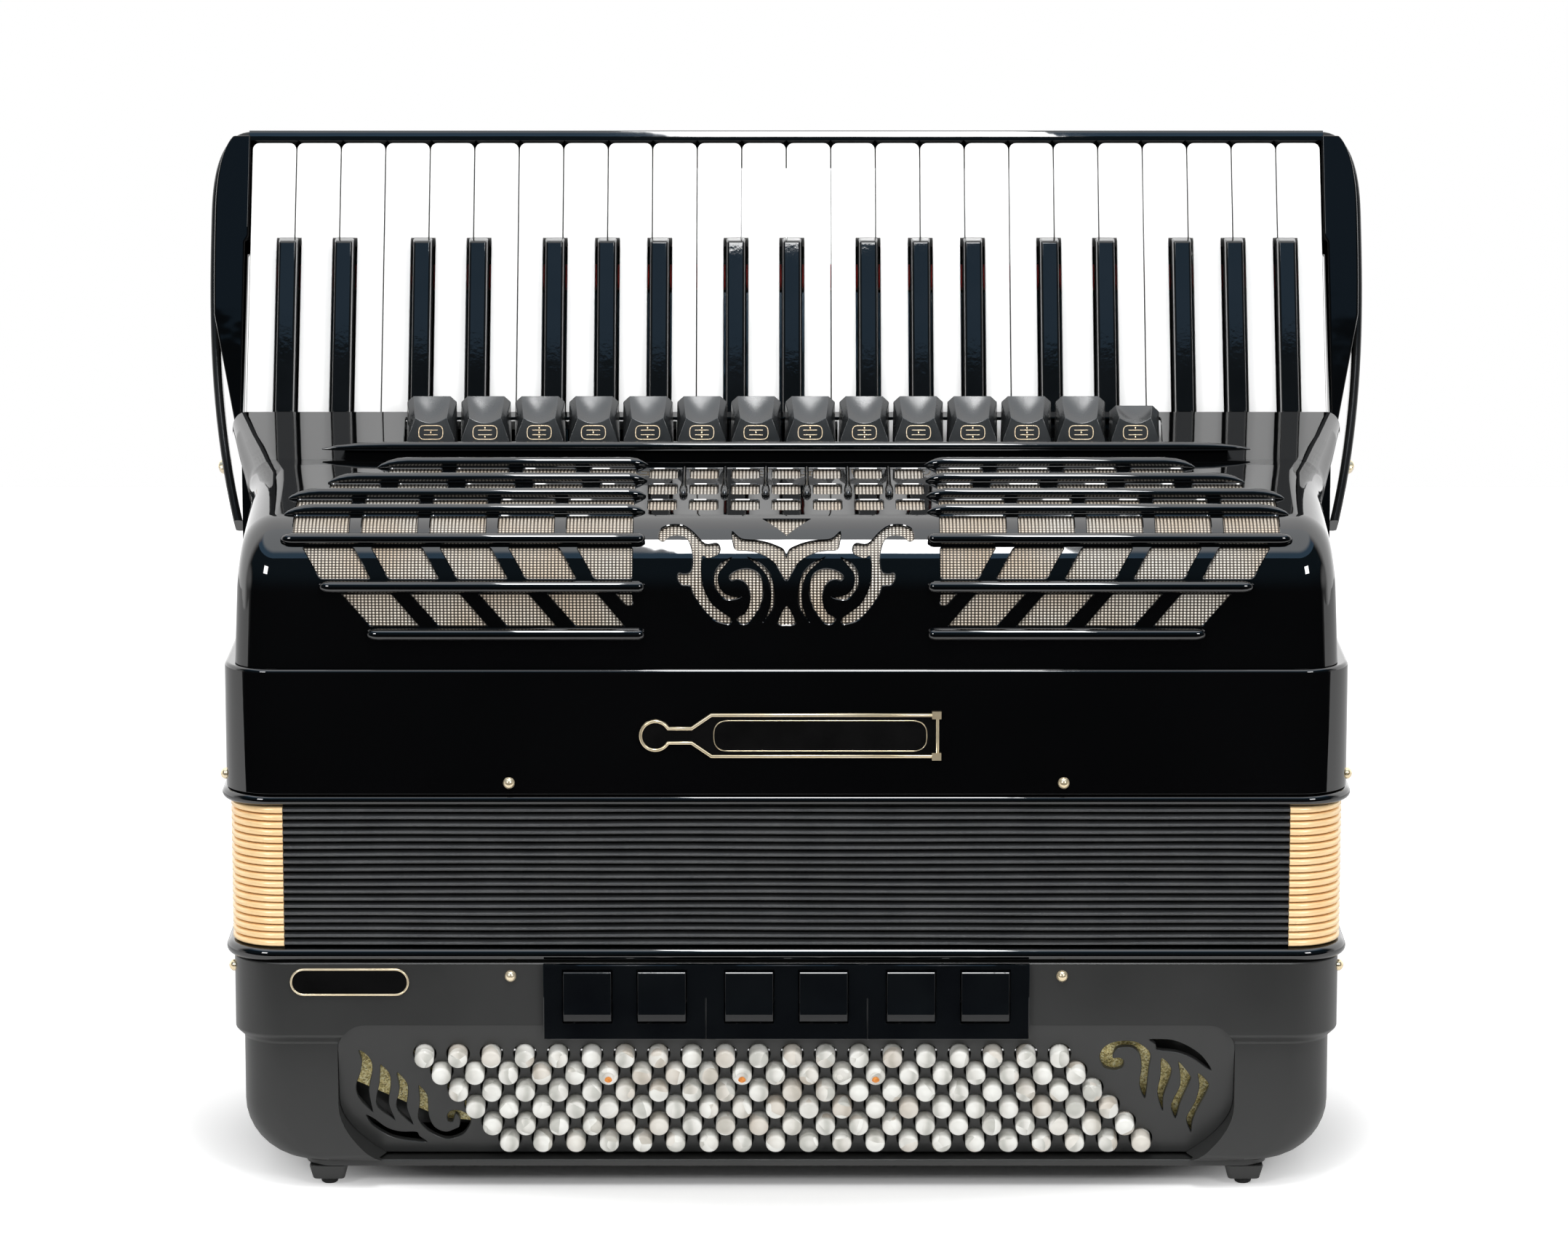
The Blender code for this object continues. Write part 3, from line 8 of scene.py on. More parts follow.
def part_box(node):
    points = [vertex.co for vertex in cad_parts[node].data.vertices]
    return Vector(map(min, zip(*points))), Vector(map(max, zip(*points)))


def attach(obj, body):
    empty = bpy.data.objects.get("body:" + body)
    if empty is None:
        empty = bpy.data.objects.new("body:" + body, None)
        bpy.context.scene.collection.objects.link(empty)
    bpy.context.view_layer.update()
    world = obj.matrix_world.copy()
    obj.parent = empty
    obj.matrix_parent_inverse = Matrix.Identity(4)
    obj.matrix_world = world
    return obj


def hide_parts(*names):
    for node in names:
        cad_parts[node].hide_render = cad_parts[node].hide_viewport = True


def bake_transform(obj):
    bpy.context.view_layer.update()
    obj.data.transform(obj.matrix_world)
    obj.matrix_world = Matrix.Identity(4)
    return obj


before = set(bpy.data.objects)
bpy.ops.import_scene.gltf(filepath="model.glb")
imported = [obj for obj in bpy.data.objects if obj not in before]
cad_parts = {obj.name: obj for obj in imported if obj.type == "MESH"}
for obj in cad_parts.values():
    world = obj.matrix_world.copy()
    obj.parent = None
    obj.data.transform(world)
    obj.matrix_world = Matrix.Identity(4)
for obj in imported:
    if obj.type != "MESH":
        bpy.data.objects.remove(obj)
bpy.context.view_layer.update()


# Camera, floor and studio light. The accordion was photographed from a little above its
# front, on a white sweep: the white ends just before its feet, so the front faces mirror a
# dark room, while the sides and the back mirror the sweep.
MM = 0.001
CAMERA_PITCH = 11.0
CAMERA_DISTANCE = 2850
CAMERA_TARGET = Vector((-1, 0, 229.7))
CAMERA_LENS = 148.0
FLOOR_FRONT = -330
FLOOR_REACH = 1700
# Name, place, width and depth, power, and whether polished faces mirror the light
AREA_LIGHTS = (
    ("strobe_0", (-1500, -2500, 1500), (640, 640), 19, True),
    ("strobe_1", (1500, -2500, 1500), (640, 640), 19, True),
    ("overhead", (0, -1300, 2300), (1900, 1900), 9, False),
    ("ceiling_box", (40, -650, 1580), (262, 640), 9, True))
# The room by the height of a mirrored direction: dark below, then each band's colour
ROOM_DARK = (0.008, 0.008, 0.009, 1)
ROOM_BANDS = (
    (-0.22, 0.42, (0.03, 0.055, 0.075, 1)),
    (0.7112, 0.7128, (0.26, 0.47, 0.71, 1)),
    (0.79, 0.87, (1.5, 1.56, 1.62, 1)))
SOFT_FILL = (0.62, 0.62, 0.62, 1.0)
WHITE = (1.0, 1.0, 1.0, 1.0)


def feed(tree, node, inputs):
    """Set a node's inputs, each given as a value or as the socket that feeds it."""
    for key, value in inputs.items():
        if isinstance(value, bpy.types.NodeSocket):
            tree.links.new(value, node.inputs[key])
        else:
            node.inputs[key].default_value = value
    return node


def add_node(tree, kind, inputs=None, **settings):
    node = tree.nodes.new("ShaderNode" + kind)
    for name, value in settings.items():
        setattr(node, name, value)
    return feed(tree, node, inputs or {})


def add_math(tree, operation, *values):
    return add_node(tree, "Math", dict(enumerate(values)), operation=operation).outputs[0]


def smooth_step(tree, value, low, high, bottom=0.0, top=1.0):
    return add_node(tree, "MapRange", {0: value, 1: low, 2: high, 3: bottom, 4: top},
                    interpolation_type="SMOOTHSTEP").outputs[0]


def mix_colours(tree, share, first, second, blend="MIX"):
    return add_node(tree, "Mix", {0: share, 6: first, 7: second},
                    data_type="RGBA", blend_type=blend).outputs[2]


def object_place(tree):
    return add_node(tree, "TexCoord").outputs["Object"]


def shader_of(material):
    return material.node_tree, material.node_tree.nodes["Principled BSDF"]


def new_material(name, roughness=None, metallic=0.0, specular=0.5):
    made = bpy.data.materials.new(name)
    made.use_nodes = True
    tree, shader = shader_of(made)
    feed(tree, shader, {"Metallic": metallic, "Specular IOR Level": specular})
    if roughness is not None:
        feed(tree, shader, {"Roughness": roughness})
    return made, tree, shader


def rectangle(left, low, right, high):
    return [(left, low), (right, low), (right, high), (left, high)]


def place_object(name, data):
    made = bpy.data.objects.new(name, data)
    bpy.context.scene.collection.objects.link(made)
    return made


pitch = math.radians(CAMERA_PITCH)
camera = place_object("camera", bpy.data.cameras.new("camera"))
camera.data.lens = CAMERA_LENS
camera.data.sensor_width = 36
camera.location = (CAMERA_TARGET
                   + Vector((0, -math.cos(pitch), math.sin(pitch))) * CAMERA_DISTANCE) * MM
camera.rotation_euler = (math.pi / 2 - pitch, 0, 0)
bpy.context.scene.camera = camera

for name, place, (width, depth), power, mirrored in AREA_LIGHTS:
    light = place_object(name, bpy.data.lights.new(name, "AREA"))
    light.data.shape = "RECTANGLE"
    light.data.size = width * MM
    light.data.size_y = depth * MM
    light.data.energy = power
    light.location = Vector(place) * MM
    light.rotation_euler = (CAMERA_TARGET - Vector(place)).to_track_quat("-Z", "Y").to_euler()
    light.visible_glossy = mirrored

world = bpy.data.worlds.new("studio")
bpy.context.scene.world = world
world.use_nodes = True
tree = world.node_tree
direction = add_node(tree, "SeparateXYZ", {
    0: add_node(tree, "TexCoord").outputs["Generated"]}).outputs
room = ROOM_DARK
for low, high, colour in ROOM_BANDS:
    room = mix_colours(tree, smooth_step(tree, direction["Z"], low, high), room, colour)
aside = add_math(tree, "ABSOLUTE", direction["X"])
softbox = smooth_step(tree, aside, 0.93, 0.99, 0.0, 0.7)
raised = smooth_step(tree, direction["Z"], -0.3, 0.05, 0.15, 1.0)
sweep = smooth_step(tree, direction["Y"], -0.12, 0.25, 0.0, 1.6)
mirrored = add_math(tree, "MAXIMUM", add_math(tree, "MULTIPLY", softbox, raised), sweep)
tinted = mix_colours(tree, 1.0, mirrored, room, "LIGHTEN")
rays = add_node(tree, "LightPath").outputs
soft_fill = mix_colours(tree, rays["Is Glossy Ray"], SOFT_FILL, tinted)
seen = mix_colours(tree, rays["Is Camera Ray"], soft_fill, WHITE)
feed(tree, tree.nodes["Background"], {"Color": seen})

floor_paint, tree, shader = new_material("white_sweep", 0.8, specular=0.1)
paper = add_node(tree, "TexNoise", {"Scale": 6.0, "Detail": 3.0})
shade = add_node(tree, "MapRange", {0: paper.outputs[0], 3: 0.9, 4: 0.93})
# The floor glows for camera rays only, from nothing close to the accordion up to half strength further out:
# painted light that lifts the floor to white around the object and keeps only the shadow close under it.
spread = add_node(tree, "Mapping", {"Vector": object_place(tree), "Scale": (3.2, 5.5, 1.0)})
distance = add_node(tree, "VectorMath", {0: spread.outputs[0]}, operation="LENGTH")
away = smooth_step(tree, distance.outputs["Value"], 0.6, 0.92, 0.0, 0.5)
camera_ray = add_node(tree, "LightPath").outputs["Is Camera Ray"]
feed(tree, shader, {
    "Base Color": shade.outputs[0], "Emission Color": WHITE,
    "Emission Strength": add_math(tree, "MULTIPLY", camera_ray, away)})
mesh = bpy.data.meshes.new("floor")
corners = rectangle(-FLOOR_REACH, FLOOR_FRONT, FLOOR_REACH, FLOOR_REACH)
mesh.from_pydata([(x * MM, y * MM, 0) for x, y in corners], [], [(0, 1, 2, 3)])
mesh.materials.append(floor_paint)
floor = place_object("floor", mesh)
bpy.context.scene.view_settings.view_transform = "Standard"


# Bass end plate and feet. A satin black board closes the bass end and carries four moulded
# blocks, each screwed on and tipped with a rubber button that keeps the case off the floor.
PLATE_WIDTH, PLATE_DEPTH, PLATE_CORNER, PLATE_THICKNESS = 418, 186, 12, 3
FOOT_BLOCK_TOP, FOOT_BLOCK_TIP = 17.0, 13.6
NUB_DIAMETER = 7.4
FOOT_PLACES = [(x, y) for x in (-199, 199) for y in (-84, 84)]


def new_group(name, inputs, outputs):
    """Empty shader group with the named sockets; returns its tree and its two end nodes."""
    tree = bpy.data.node_groups.new(name, "ShaderNodeTree")
    for label, kind, value in inputs:
        socket = tree.interface.new_socket(label, in_out="INPUT", socket_type="NodeSocket" + kind)
        socket.default_value = value
    for label, kind in outputs:
        tree.interface.new_socket(label, in_out="OUTPUT", socket_type="NodeSocket" + kind)
    start = tree.nodes.new("NodeGroupInput")
    end = tree.nodes.new("NodeGroupOutput")
    return tree, start, end


# Slow change of tone and polish over a surface, as handling and moulding leave it
tone_drift, start, end = new_group(
    "tone_drift",
    [("Scale", "Float", 20.0), ("Colour", "Color", (0.5, 0.5, 0.5, 1)),
     ("Second Colour", "Color", (0.5, 0.5, 0.5, 1)), ("Low Roughness", "Float", 0.1),
     ("High Roughness", "Float", 0.2)],
    [("Colour", "Color"), ("Roughness", "Float"), ("Mask", "Float")])
cloud = add_node(tone_drift, "TexNoise", {
    "Vector": object_place(tone_drift), "Scale": start.outputs["Scale"], "Detail": 4.0})
mask = add_node(tone_drift, "MapRange", {0: cloud.outputs[0], 1: 0.3, 2: 0.7})
colour = mix_colours(
    tone_drift, mask.outputs[0], start.outputs["Colour"], start.outputs["Second Colour"])
polish = add_node(tone_drift, "MapRange", {
    0: mask.outputs[0], 3: start.outputs["Low Roughness"], 4: start.outputs["High Roughness"]})
feed(tone_drift, end, {
    "Colour": colour, "Roughness": polish.outputs[0], "Mask": mask.outputs[0]})

# Fine relief of a surface: moulded grain, leather pores or the ripple of polished lacquer
fine_relief, start, end = new_group(
    "fine_relief",
    [("Scale", "Float", 500.0), ("Strength", "Float", 0.2), ("Depth", "Float", 0.0002)],
    [("Normal", "Vector")])
grain = add_node(fine_relief, "TexNoise", {
    "Vector": object_place(fine_relief), "Scale": start.outputs["Scale"], "Detail": 3.0})
bump = add_node(fine_relief, "Bump", {
    "Strength": start.outputs["Strength"], "Distance": start.outputs["Depth"],
    "Height": grain.outputs[0]})
feed(fine_relief, end, {"Normal": bump.outputs[0]})


def add_group(tree, group, inputs):
    node = tree.nodes.new("ShaderNodeGroup")
    node.node_tree = group
    return feed(tree, node, inputs)


def finish_coat(name, colour, second, roughness, drift, grain, **settings):
    """Material with drifting tone and polish, and a fine relief of (scale, strength, depth)."""
    made, tree, shader = new_material(name, **settings)
    tone = add_group(tree, tone_drift, {
        "Scale": drift, "Colour": (*colour, 1), "Second Colour": (*second, 1),
        "Low Roughness": roughness[0], "High Roughness": roughness[1]})
    relief = add_group(tree, fine_relief, {
        "Scale": grain[0], "Strength": grain[1], "Depth": grain[2]})
    feed(tree, shader, {
        "Base Color": tone.outputs["Colour"], "Roughness": tone.outputs["Roughness"],
        "Normal": relief.outputs["Normal"]})
    return made


def smooth_over(mesh, angle):
    """Shade a mesh smooth, with sharp edges over an angle in degrees."""
    mesh.shade_smooth()
    mesh.set_sharp_from_angle(angle=math.radians(angle))


def finish_piece(name, bm, material, smooth=None, bevel=None, steps=2, orient=True):
    """Turn a bmesh drawn in millimetres into a piece, with round edges where a bevel is given."""
    if orient:
        bmesh.ops.recalc_face_normals(bm, faces=bm.faces)
    bm.transform(Matrix.Scale(MM, 4))
    mesh = bpy.data.meshes.new(name)
    bm.to_mesh(mesh)
    bm.free()
    mesh.materials.append(material)
    made = place_object(name, mesh)
    if smooth is not None:
        smooth_over(mesh, smooth)
    if bevel:
        round_edges(made, bevel, steps)
    return made


def round_edges(piece, width, steps=2):
    edges = piece.modifiers.new("round_edges", "BEVEL")
    edges.width = width * MM
    edges.segments = steps
    edges.limit_method = "ANGLE"
    edges.angle_limit = math.radians(38)
    edges.harden_normals = True


def arc(x, y, radius, start, turn, steps):
    """Points about (x, y), from an angle in degrees through a turn."""
    angles = [math.radians(start + turn * step / steps) for step in range(steps + 1)]
    return [(x + radius * math.cos(a), y + radius * math.sin(a)) for a in angles]


def rounded_ring(half_x, half_y, radius, z, steps=8, centre=(0, 0)):
    points = []
    for sx, sy, start in ((1, 1, 0), (-1, 1, 90), (-1, -1, 180), (1, -1, 270)):
        points += arc(centre[0] + sx * (half_x - radius), centre[1] + sy * (half_y - radius),
                      radius, start, 90, steps)
    return [(x, y, z) for x, y in points]


def add_loft(bm, rings, closed=False):
    """Skin a list of rings with equal point counts; the ends are capped unless the loft closes."""
    made = [[bm.verts.new(point) for point in ring] for ring in rings]
    pairs = list(zip(made, made[1:]))
    if closed:
        pairs.append((made[-1], made[0]))
    for lower, upper in pairs:
        for i in range(len(lower)):
            j = (i + 1) % len(lower)
            bm.faces.new((lower[i], lower[j], upper[j], upper[i]))
    if not closed:
        bm.faces.new(made[0])
        bm.faces.new(made[-1])


def levels_of(node):
    """Lowest and highest level of a CAD node, in millimetres."""
    low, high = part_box(node)
    return low.z / MM, high.z / MM


satin_black = finish_coat(
    "satin_black", (0.022, 0.0225, 0.022), (0.028, 0.0285, 0.028), (0.30, 0.38), 16,
    (1400, 0.12, 0.0002))
rubber = finish_coat(
    "rubber", (0.008, 0.008, 0.008), (0.016, 0.016, 0.016), (0.6, 0.75), 120, (2500, 0.3, 0.0002))

plate_top = levels_of("bass_end_plate")[1]
plate_bottom = plate_top - PLATE_THICKNESS
bm = bmesh.new()
add_loft(bm, [rounded_ring(PLATE_WIDTH / 2, PLATE_DEPTH / 2, PLATE_CORNER, plate_bottom),
              rounded_ring(PLATE_WIDTH / 2, PLATE_DEPTH / 2, PLATE_CORNER, plate_top)])
for x, y in FOOT_PLACES:
    add_loft(bm, [rounded_ring(FOOT_BLOCK_TIP / 2, FOOT_BLOCK_TIP / 2, 2, 3, 4, (x, y)),
                  rounded_ring(FOOT_BLOCK_TOP / 2, FOOT_BLOCK_TOP / 2, 2.4, plate_bottom, 4, (x, y))])
end_plate = finish_piece("bass_end_board", bm, satin_black, 30, 0.6)
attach(end_plate, "bass_body")
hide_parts("bass_end_plate")
bm = bmesh.new()
for x, y in FOOT_PLACES:
    rings = []
    for inset, z in ((0.9, 0), (0.2, 0.5), (0, 1.2), (0, 3.2)):
        half = NUB_DIAMETER / 2 - inset
        rings.append(rounded_ring(half, half, half, z, 6, (x, y)))
    add_loft(bm, rings)
nubs = finish_piece("foot_rubbers", bm, rubber, 40)
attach(nubs, "bass_body")


# Bass case. A deep satin black shell, drawn in below its middle and rounded at both lower
# ends, with a recess across its front for the sloping button board.
BASS_WIDTH, BODY_DEPTH, BODY_CORNER = 478, 206, 22
BASS_WALL = 5
STEP_INSET, STEP_HEIGHT, STEP_SLOPE = 3.8, 55.5, 5
END_RADIUS, FRONT_RADIUS = 25, 4
BOARD_TILT, BOARD_TOP, BOARD_LENGTH = 15, 75, 63
BOARD_HALF, BOARD_FOOT_HALF, BOARD_CORNER = 193.5, 174, 12
BOARD_THICKNESS, BOARD_CURVE_START = 2.5, 36
FRONT = -BODY_DEPTH / 2
# Low and high corners in the board's frame: room for the works, then a pocket at each end
WORKS_ROOM = ((-127, 3.2, -33), (127, 63, -1.8))
END_POCKETS = (((-189, 3.2, -11), (-129, 62, -1.8)), ((129, 3.2, -11), (189, 62, -1.8)))
SWITCH_OPENING_HALF, SWITCH_OPENING_LOW, SWITCH_OPENING_HIGH = 97.6, 76, 100.8


def add_box(bm, low, high, matrix=Matrix()):
    size = [high[i] - low[i] for i in range(3)]
    middle = [(high[i] + low[i]) / 2 for i in range(3)]
    place = matrix @ Matrix.Translation(middle) @ Matrix.Diagonal((*size, 1))
    bmesh.ops.create_cube(bm, size=1, matrix=place)


def add_prism(bm, outline, height, matrix=Matrix()):
    """Extrude a flat outline, given in the matrix's XY plane, along the matrix's Z."""
    low = [bm.verts.new(matrix @ Vector((x, y, 0))) for x, y in outline]
    high = [bm.verts.new(matrix @ Vector((x, y, height))) for x, y in outline]
    bm.faces.new(list(reversed(low)))
    bm.faces.new(high)
    for i in range(len(low)):
        j = (i + 1) % len(low)
        bm.faces.new((low[i], low[j], high[j], high[i]))


def cut_away(piece, *cutters):
    """Cut the bmesh cutters out of a piece and keep the result as its plain mesh."""
    stand_ins = []
    for index, bm in enumerate(cutters):
        cutter = finish_piece(f"{piece.name}_cutter_{index}", bm, piece.data.materials[0])
        stand_ins.append(cutter)
        cut = piece.modifiers.new("cut", "BOOLEAN")
        cut.operation = "DIFFERENCE"
        cut.solver = "EXACT"
        cut.use_self = True
        cut.object = cutter
    shaped = piece.evaluated_get(bpy.context.evaluated_depsgraph_get())
    mesh = bpy.data.meshes.new_from_object(shaped)
    piece.modifiers.clear()
    piece.data = mesh
    for cutter in stand_ins:
        bpy.data.objects.remove(cutter, do_unlink=True)


def settle_shading(piece, smooth):
    """Keep flat faces flat beside round ones, with sharp edges over an angle."""
    smooth_over(piece.data, smooth)
    weighted = piece.modifiers.new("flat_faces_first", "WEIGHTED_NORMAL")
    weighted.keep_sharp = True
    weighted.weight = 100


def bass_levels():
    levels = []
    for angle in range(90, -1, -10):
        a = math.radians(angle)
        rise = END_RADIUS * (1 - math.sin(a))
        levels.append((rise, STEP_INSET + END_RADIUS * (1 - math.cos(a)),
                       STEP_INSET + max(0, FRONT_RADIUS - rise) ** 2 / FRONT_RADIUS * 0.8))
    for share in (-0.5, -0.4, -0.25, 0, 0.25, 0.4, 0.5):
        swell = 0.5 - 0.5 * math.sin(math.pi * share)
        levels.append((STEP_HEIGHT + STEP_SLOPE * share, STEP_INSET * swell, STEP_INSET * swell))
    return levels


def bass_ring(z, side, front):
    radius = max(BODY_CORNER - min(side, front), 6)
    return rounded_ring(BASS_WIDTH / 2 - side, BODY_DEPTH / 2 - front, radius, z, 12)


def board_matrix():
    """Frame of the button board: X to the left, Y down the board, Z out of its face."""
    tilt = math.radians(BOARD_TILT)
    return Matrix((
        (-1, 0, 0, 0),
        (0, math.sin(tilt), -math.cos(tilt), FRONT + 0.5),
        (0, -math.cos(tilt), -math.sin(tilt), BOARD_TOP),
        (0, 0, 0, 1)))


def board_outline(grow=0.0, run_out=0.0):
    half = BOARD_HALF + grow
    foot = BOARD_FOOT_HALF + grow
    radius = BOARD_CORNER + grow
    right = []
    for step in range(9):
        angle = math.radians(90 * step / 8)
        right.append((half - radius + radius * math.sin(angle),
                      -grow + radius * (1 - math.cos(angle))))
    curve = BOARD_LENGTH - BOARD_CURVE_START
    for step in range(9):
        share = step / 8
        right.append((half - (half - foot) * share ** 2, BOARD_CURVE_START + curve * share))
    if run_out:
        right.append((foot - run_out * 0.8, BOARD_LENGTH + run_out))
    return right + [(-x, y) for x, y in reversed(right)]


bass_bottom, bass_top = levels_of("bass_case")
outer = [bass_ring(bass_bottom + rise, side, front) for rise, side, front in bass_levels()]
outer += [bass_ring(bass_top - 0.4, 0, 0), bass_ring(bass_top, 0.4, 0.4)]
inner = [bass_ring(bass_top, BASS_WALL, BASS_WALL),
         bass_ring(bass_bottom, STEP_INSET + END_RADIUS + 2, STEP_INSET + BASS_WALL)]
bm = bmesh.new()
add_loft(bm, outer + inner, closed=True)
add_box(bm, (-BOARD_HALF - 5, FRONT + 5.3, bass_bottom + 1),
        (BOARD_HALF + 5, FRONT + 25.3, BOARD_TOP + 5))
bass_case = finish_piece("bass_case_shell", bm, satin_black)
board = board_matrix()
recess = bmesh.new()
add_prism(recess, board_outline(0.3, 12), 30,
          board @ Matrix.Translation((0, 0, -BOARD_THICKNESS - 0.3)))
works = bmesh.new()
for low, high in (WORKS_ROOM, *END_POCKETS):
    add_box(works, low, high, board)
window = bmesh.new()
add_box(window, (-SWITCH_OPENING_HALF, FRONT - 5, SWITCH_OPENING_LOW),
        (SWITCH_OPENING_HALF, FRONT + 20, SWITCH_OPENING_HIGH))
cut_away(bass_case, recess, works, window)
settle_shading(bass_case, 30)
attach(bass_case, "bass_body")
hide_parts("bass_case")


# Button board. A satin black plate let into the sloping recess, pierced for 120 buttons and
# by a leaf at each end, with gold glitter card behind the leaves.
BUTTON_ROWS, BUTTON_COLUMNS = 6, 20
BUTTON_PITCH, BUTTON_ROW_PITCH, BUTTON_FIRST_ROW = 14.43, 8.4, 14.0
BUTTON_HOLE, BUTTON_HOLE_SIDES, BUTTON_SHIFT = 10.6, 18, -1.1
LEAF_DEPTH = 3.6
CARD_THICKNESS = 0.4
LEFT_CARD = [(188, 4), (188, 30), (150, 49), (133, 51), (133, 48), (162.5, 14), (171, 4)]
RIGHT_CARD = [(-154, 13.5), (-152, 4), (-132, 4), (-132, 18), (-169, 60), (-188, 60), (-188, 27),
              (-180, 24), (-173, 20), (-163, 15)]


def button_place(row, column):
    x = (column - (BUTTON_COLUMNS - 1) / 2) * BUTTON_PITCH
    x += (row - (BUTTON_ROWS - 1) / 2) * BUTTON_PITCH / 2
    return (-x - BUTTON_SHIFT, BUTTON_FIRST_ROW + row * BUTTON_ROW_PITCH)


def circle(x, y, radius, sides):
    return [(x + radius * math.cos(2 * math.pi * i / sides),
             y + radius * math.sin(2 * math.pi * i / sides)) for i in range(sides)]


def flowing(points, steps=5):
    """Closed smooth curve through the points; a point given twice stays a sharp tip."""
    line = []
    count = len(points)
    for i in range(count):
        a, b, c, d = (Vector(points[(i + k) % count]) for k in (-1, 0, 1, 2))
        if (c - b).length < 1e-6:
            continue
        for step in range(steps):
            t = step / steps
            line.append(tuple(0.5 * (2 * b + (c - a) * t + (2 * a - 5 * b + 4 * c - d) * t ** 2
                                     + (3 * b - a - 3 * c + d) * t ** 3)))
    return line


def inside(point, polygon):
    x, y = point
    hit = False
    for i in range(len(polygon)):
        x1, y1 = polygon[i - 1]
        x2, y2 = polygon[i]
        if (y1 > y) != (y2 > y) and x < (x2 - x1) * (y - y1) / (y2 - y1) + x1:
            hit = not hit
    return hit


def add_pierced_sheet(bm, outline, holes, creases, surface, thickness, chamfer, open_edge=None):
    """Sheet drawn flat, pierced by holes and laid on a surface given as (place, normal).

    Returns, for each face made, the normals of its corners. Walls are left out where
    open_edge(u) is true, so that another sheet can join there.
    """
    points = []
    edges = []
    for loop in [outline] + holes:
        first = len(points)
        points += [Vector(point) for point in loop]
        edges += [(first + i, first + (i + 1) % len(loop)) for i in range(len(loop))]
    for start, end in creases:
        edges.append((len(points), len(points) + 1))
        points += [Vector(start), Vector(end)]
    flat, _, faces, _, _, _ = geometry.delaunay_2d_cdt(points, edges, [], 0, 1e-4)
    boxes = [(min(p[0] for p in h), max(p[0] for p in h), min(p[1] for p in h),
              max(p[1] for p in h), h) for h in holes]
    kept = []
    for face in faces:
        middle = sum((flat[i] for i in face), Vector((0, 0))) / len(face)
        if not inside(middle, outline):
            continue
        if any(a <= middle.x <= b and c <= middle.y <= d and inside(middle, h)
               for a, b, c, d, h in boxes):
            continue
        kept.append(tuple(face))
    directed = {}
    for face in kept:
        for i in range(len(face)):
            directed[(face[i - 1], face[i])] = True
    rim = [(a, b) for a, b in directed if (b, a) not in directed]
    outward = {}
    for a, b in rim:
        way = flat[b] - flat[a]
        way = Vector((way.y, -way.x)).normalized()
        for i in (a, b):
            outward.setdefault(i, []).append(way)
    moved = {}
    for i, ways in outward.items():
        way = sum(ways, Vector((0, 0)))
        if way.length > 1e-6:
            way = way / max(way.length_squared / len(ways), 0.5)
        if open_edge and open_edge(flat[i].x):
            way = Vector((0, 0))
        moved[i] = way
    used = sorted({i for face in kept for i in face})
    top = {}
    shoulder = {}
    bottom = {}
    normals = {}
    side_normals = {}
    for i in used:
        place, normal = surface(flat[i].x, flat[i].y)
        normals[i] = normal
        top[i] = bm.verts.new(place)
        if i in moved:
            edge = flat[i] + moved[i] * chamfer
            place, normal = surface(edge.x, edge.y)
            shoulder[i] = bm.verts.new(place - normal * chamfer)
            beyond = surface(edge.x + moved[i].x, edge.y + moved[i].y)[0]
            side_normals[i] = (beyond - place).normalized() if beyond != place else normal
        bottom[i] = bm.verts.new(place - normal * thickness)
    corner_normals = []
    for face in kept:
        bm.faces.new([top[i] for i in face])
        corner_normals.append([normals[i] for i in face])
        bm.faces.new([bottom[i] for i in reversed(face)])
        corner_normals.append([-normals[i] for i in reversed(face)])
    for a, b in rim:
        if open_edge and open_edge(flat[a].x) and open_edge(flat[b].x):
            continue
        bm.faces.new((top[b], top[a], shoulder[a], shoulder[b]))
        slant = [(normals[i] + side_normals[i]).normalized() for i in (b, a, a, b)]
        corner_normals.append(slant)
        bm.faces.new((shoulder[b], shoulder[a], bottom[a], bottom[b]))
        corner_normals.append([side_normals[i] for i in (b, a, a, b)])
    return corner_normals


def set_normals(piece, corner_normals):
    """Give the piece's first faces their own corner normals, in the order they were made."""
    mesh = piece.data
    mesh.shade_smooth()
    wanted = []
    for index, polygon in enumerate(mesh.polygons):
        if index < len(corner_normals) and corner_normals[index]:
            wanted += [tuple(n) for n in corner_normals[index]]
        else:
            wanted += [(0, 0, 0)] * polygon.loop_total
    mesh.normals_split_custom_set(wanted)


# The leaves are drawn in a unit of 0.064 mm across the board and 0.071 mm down it
LEAF_UNIT = (0.064, 0.0709)
LEFT_START, RIGHT_END, LEAF_TOP = 118, 1266, 143
left_leaf = [
    [(252, 320), (290, 330), (340, 390), (345, 470), (318, 600), (340, 745), (330, 750),
     (240, 650), (228, 560), (260, 470), (270, 390)],
    [(395, 425), (412, 425), (460, 480), (468, 560), (450, 690), (490, 808), (470, 800),
     (370, 720), (362, 650), (385, 550)],
    [(505, 480), (530, 485), (578, 550), (583, 620), (572, 720), (612, 838), (590, 830),
     (505, 745), (498, 680), (520, 590)],
    [(650, 570), (668, 572), (712, 630), (716, 700), (722, 790), (760, 860), (830, 890),
     (900, 865), (920, 850), (925, 800), (900, 770), (880, 825), (845, 820), (838, 775),
     (870, 740), (940, 742), (995, 785), (1002, 830), (960, 900), (900, 935), (830, 945),
     (740, 910), (670, 850), (640, 790), (655, 680)],
    [(290, 770), (350, 800), (430, 860), (520, 888), (630, 890), (650, 920), (705, 965),
     (600, 960), (470, 935), (370, 880), (310, 825)],
]
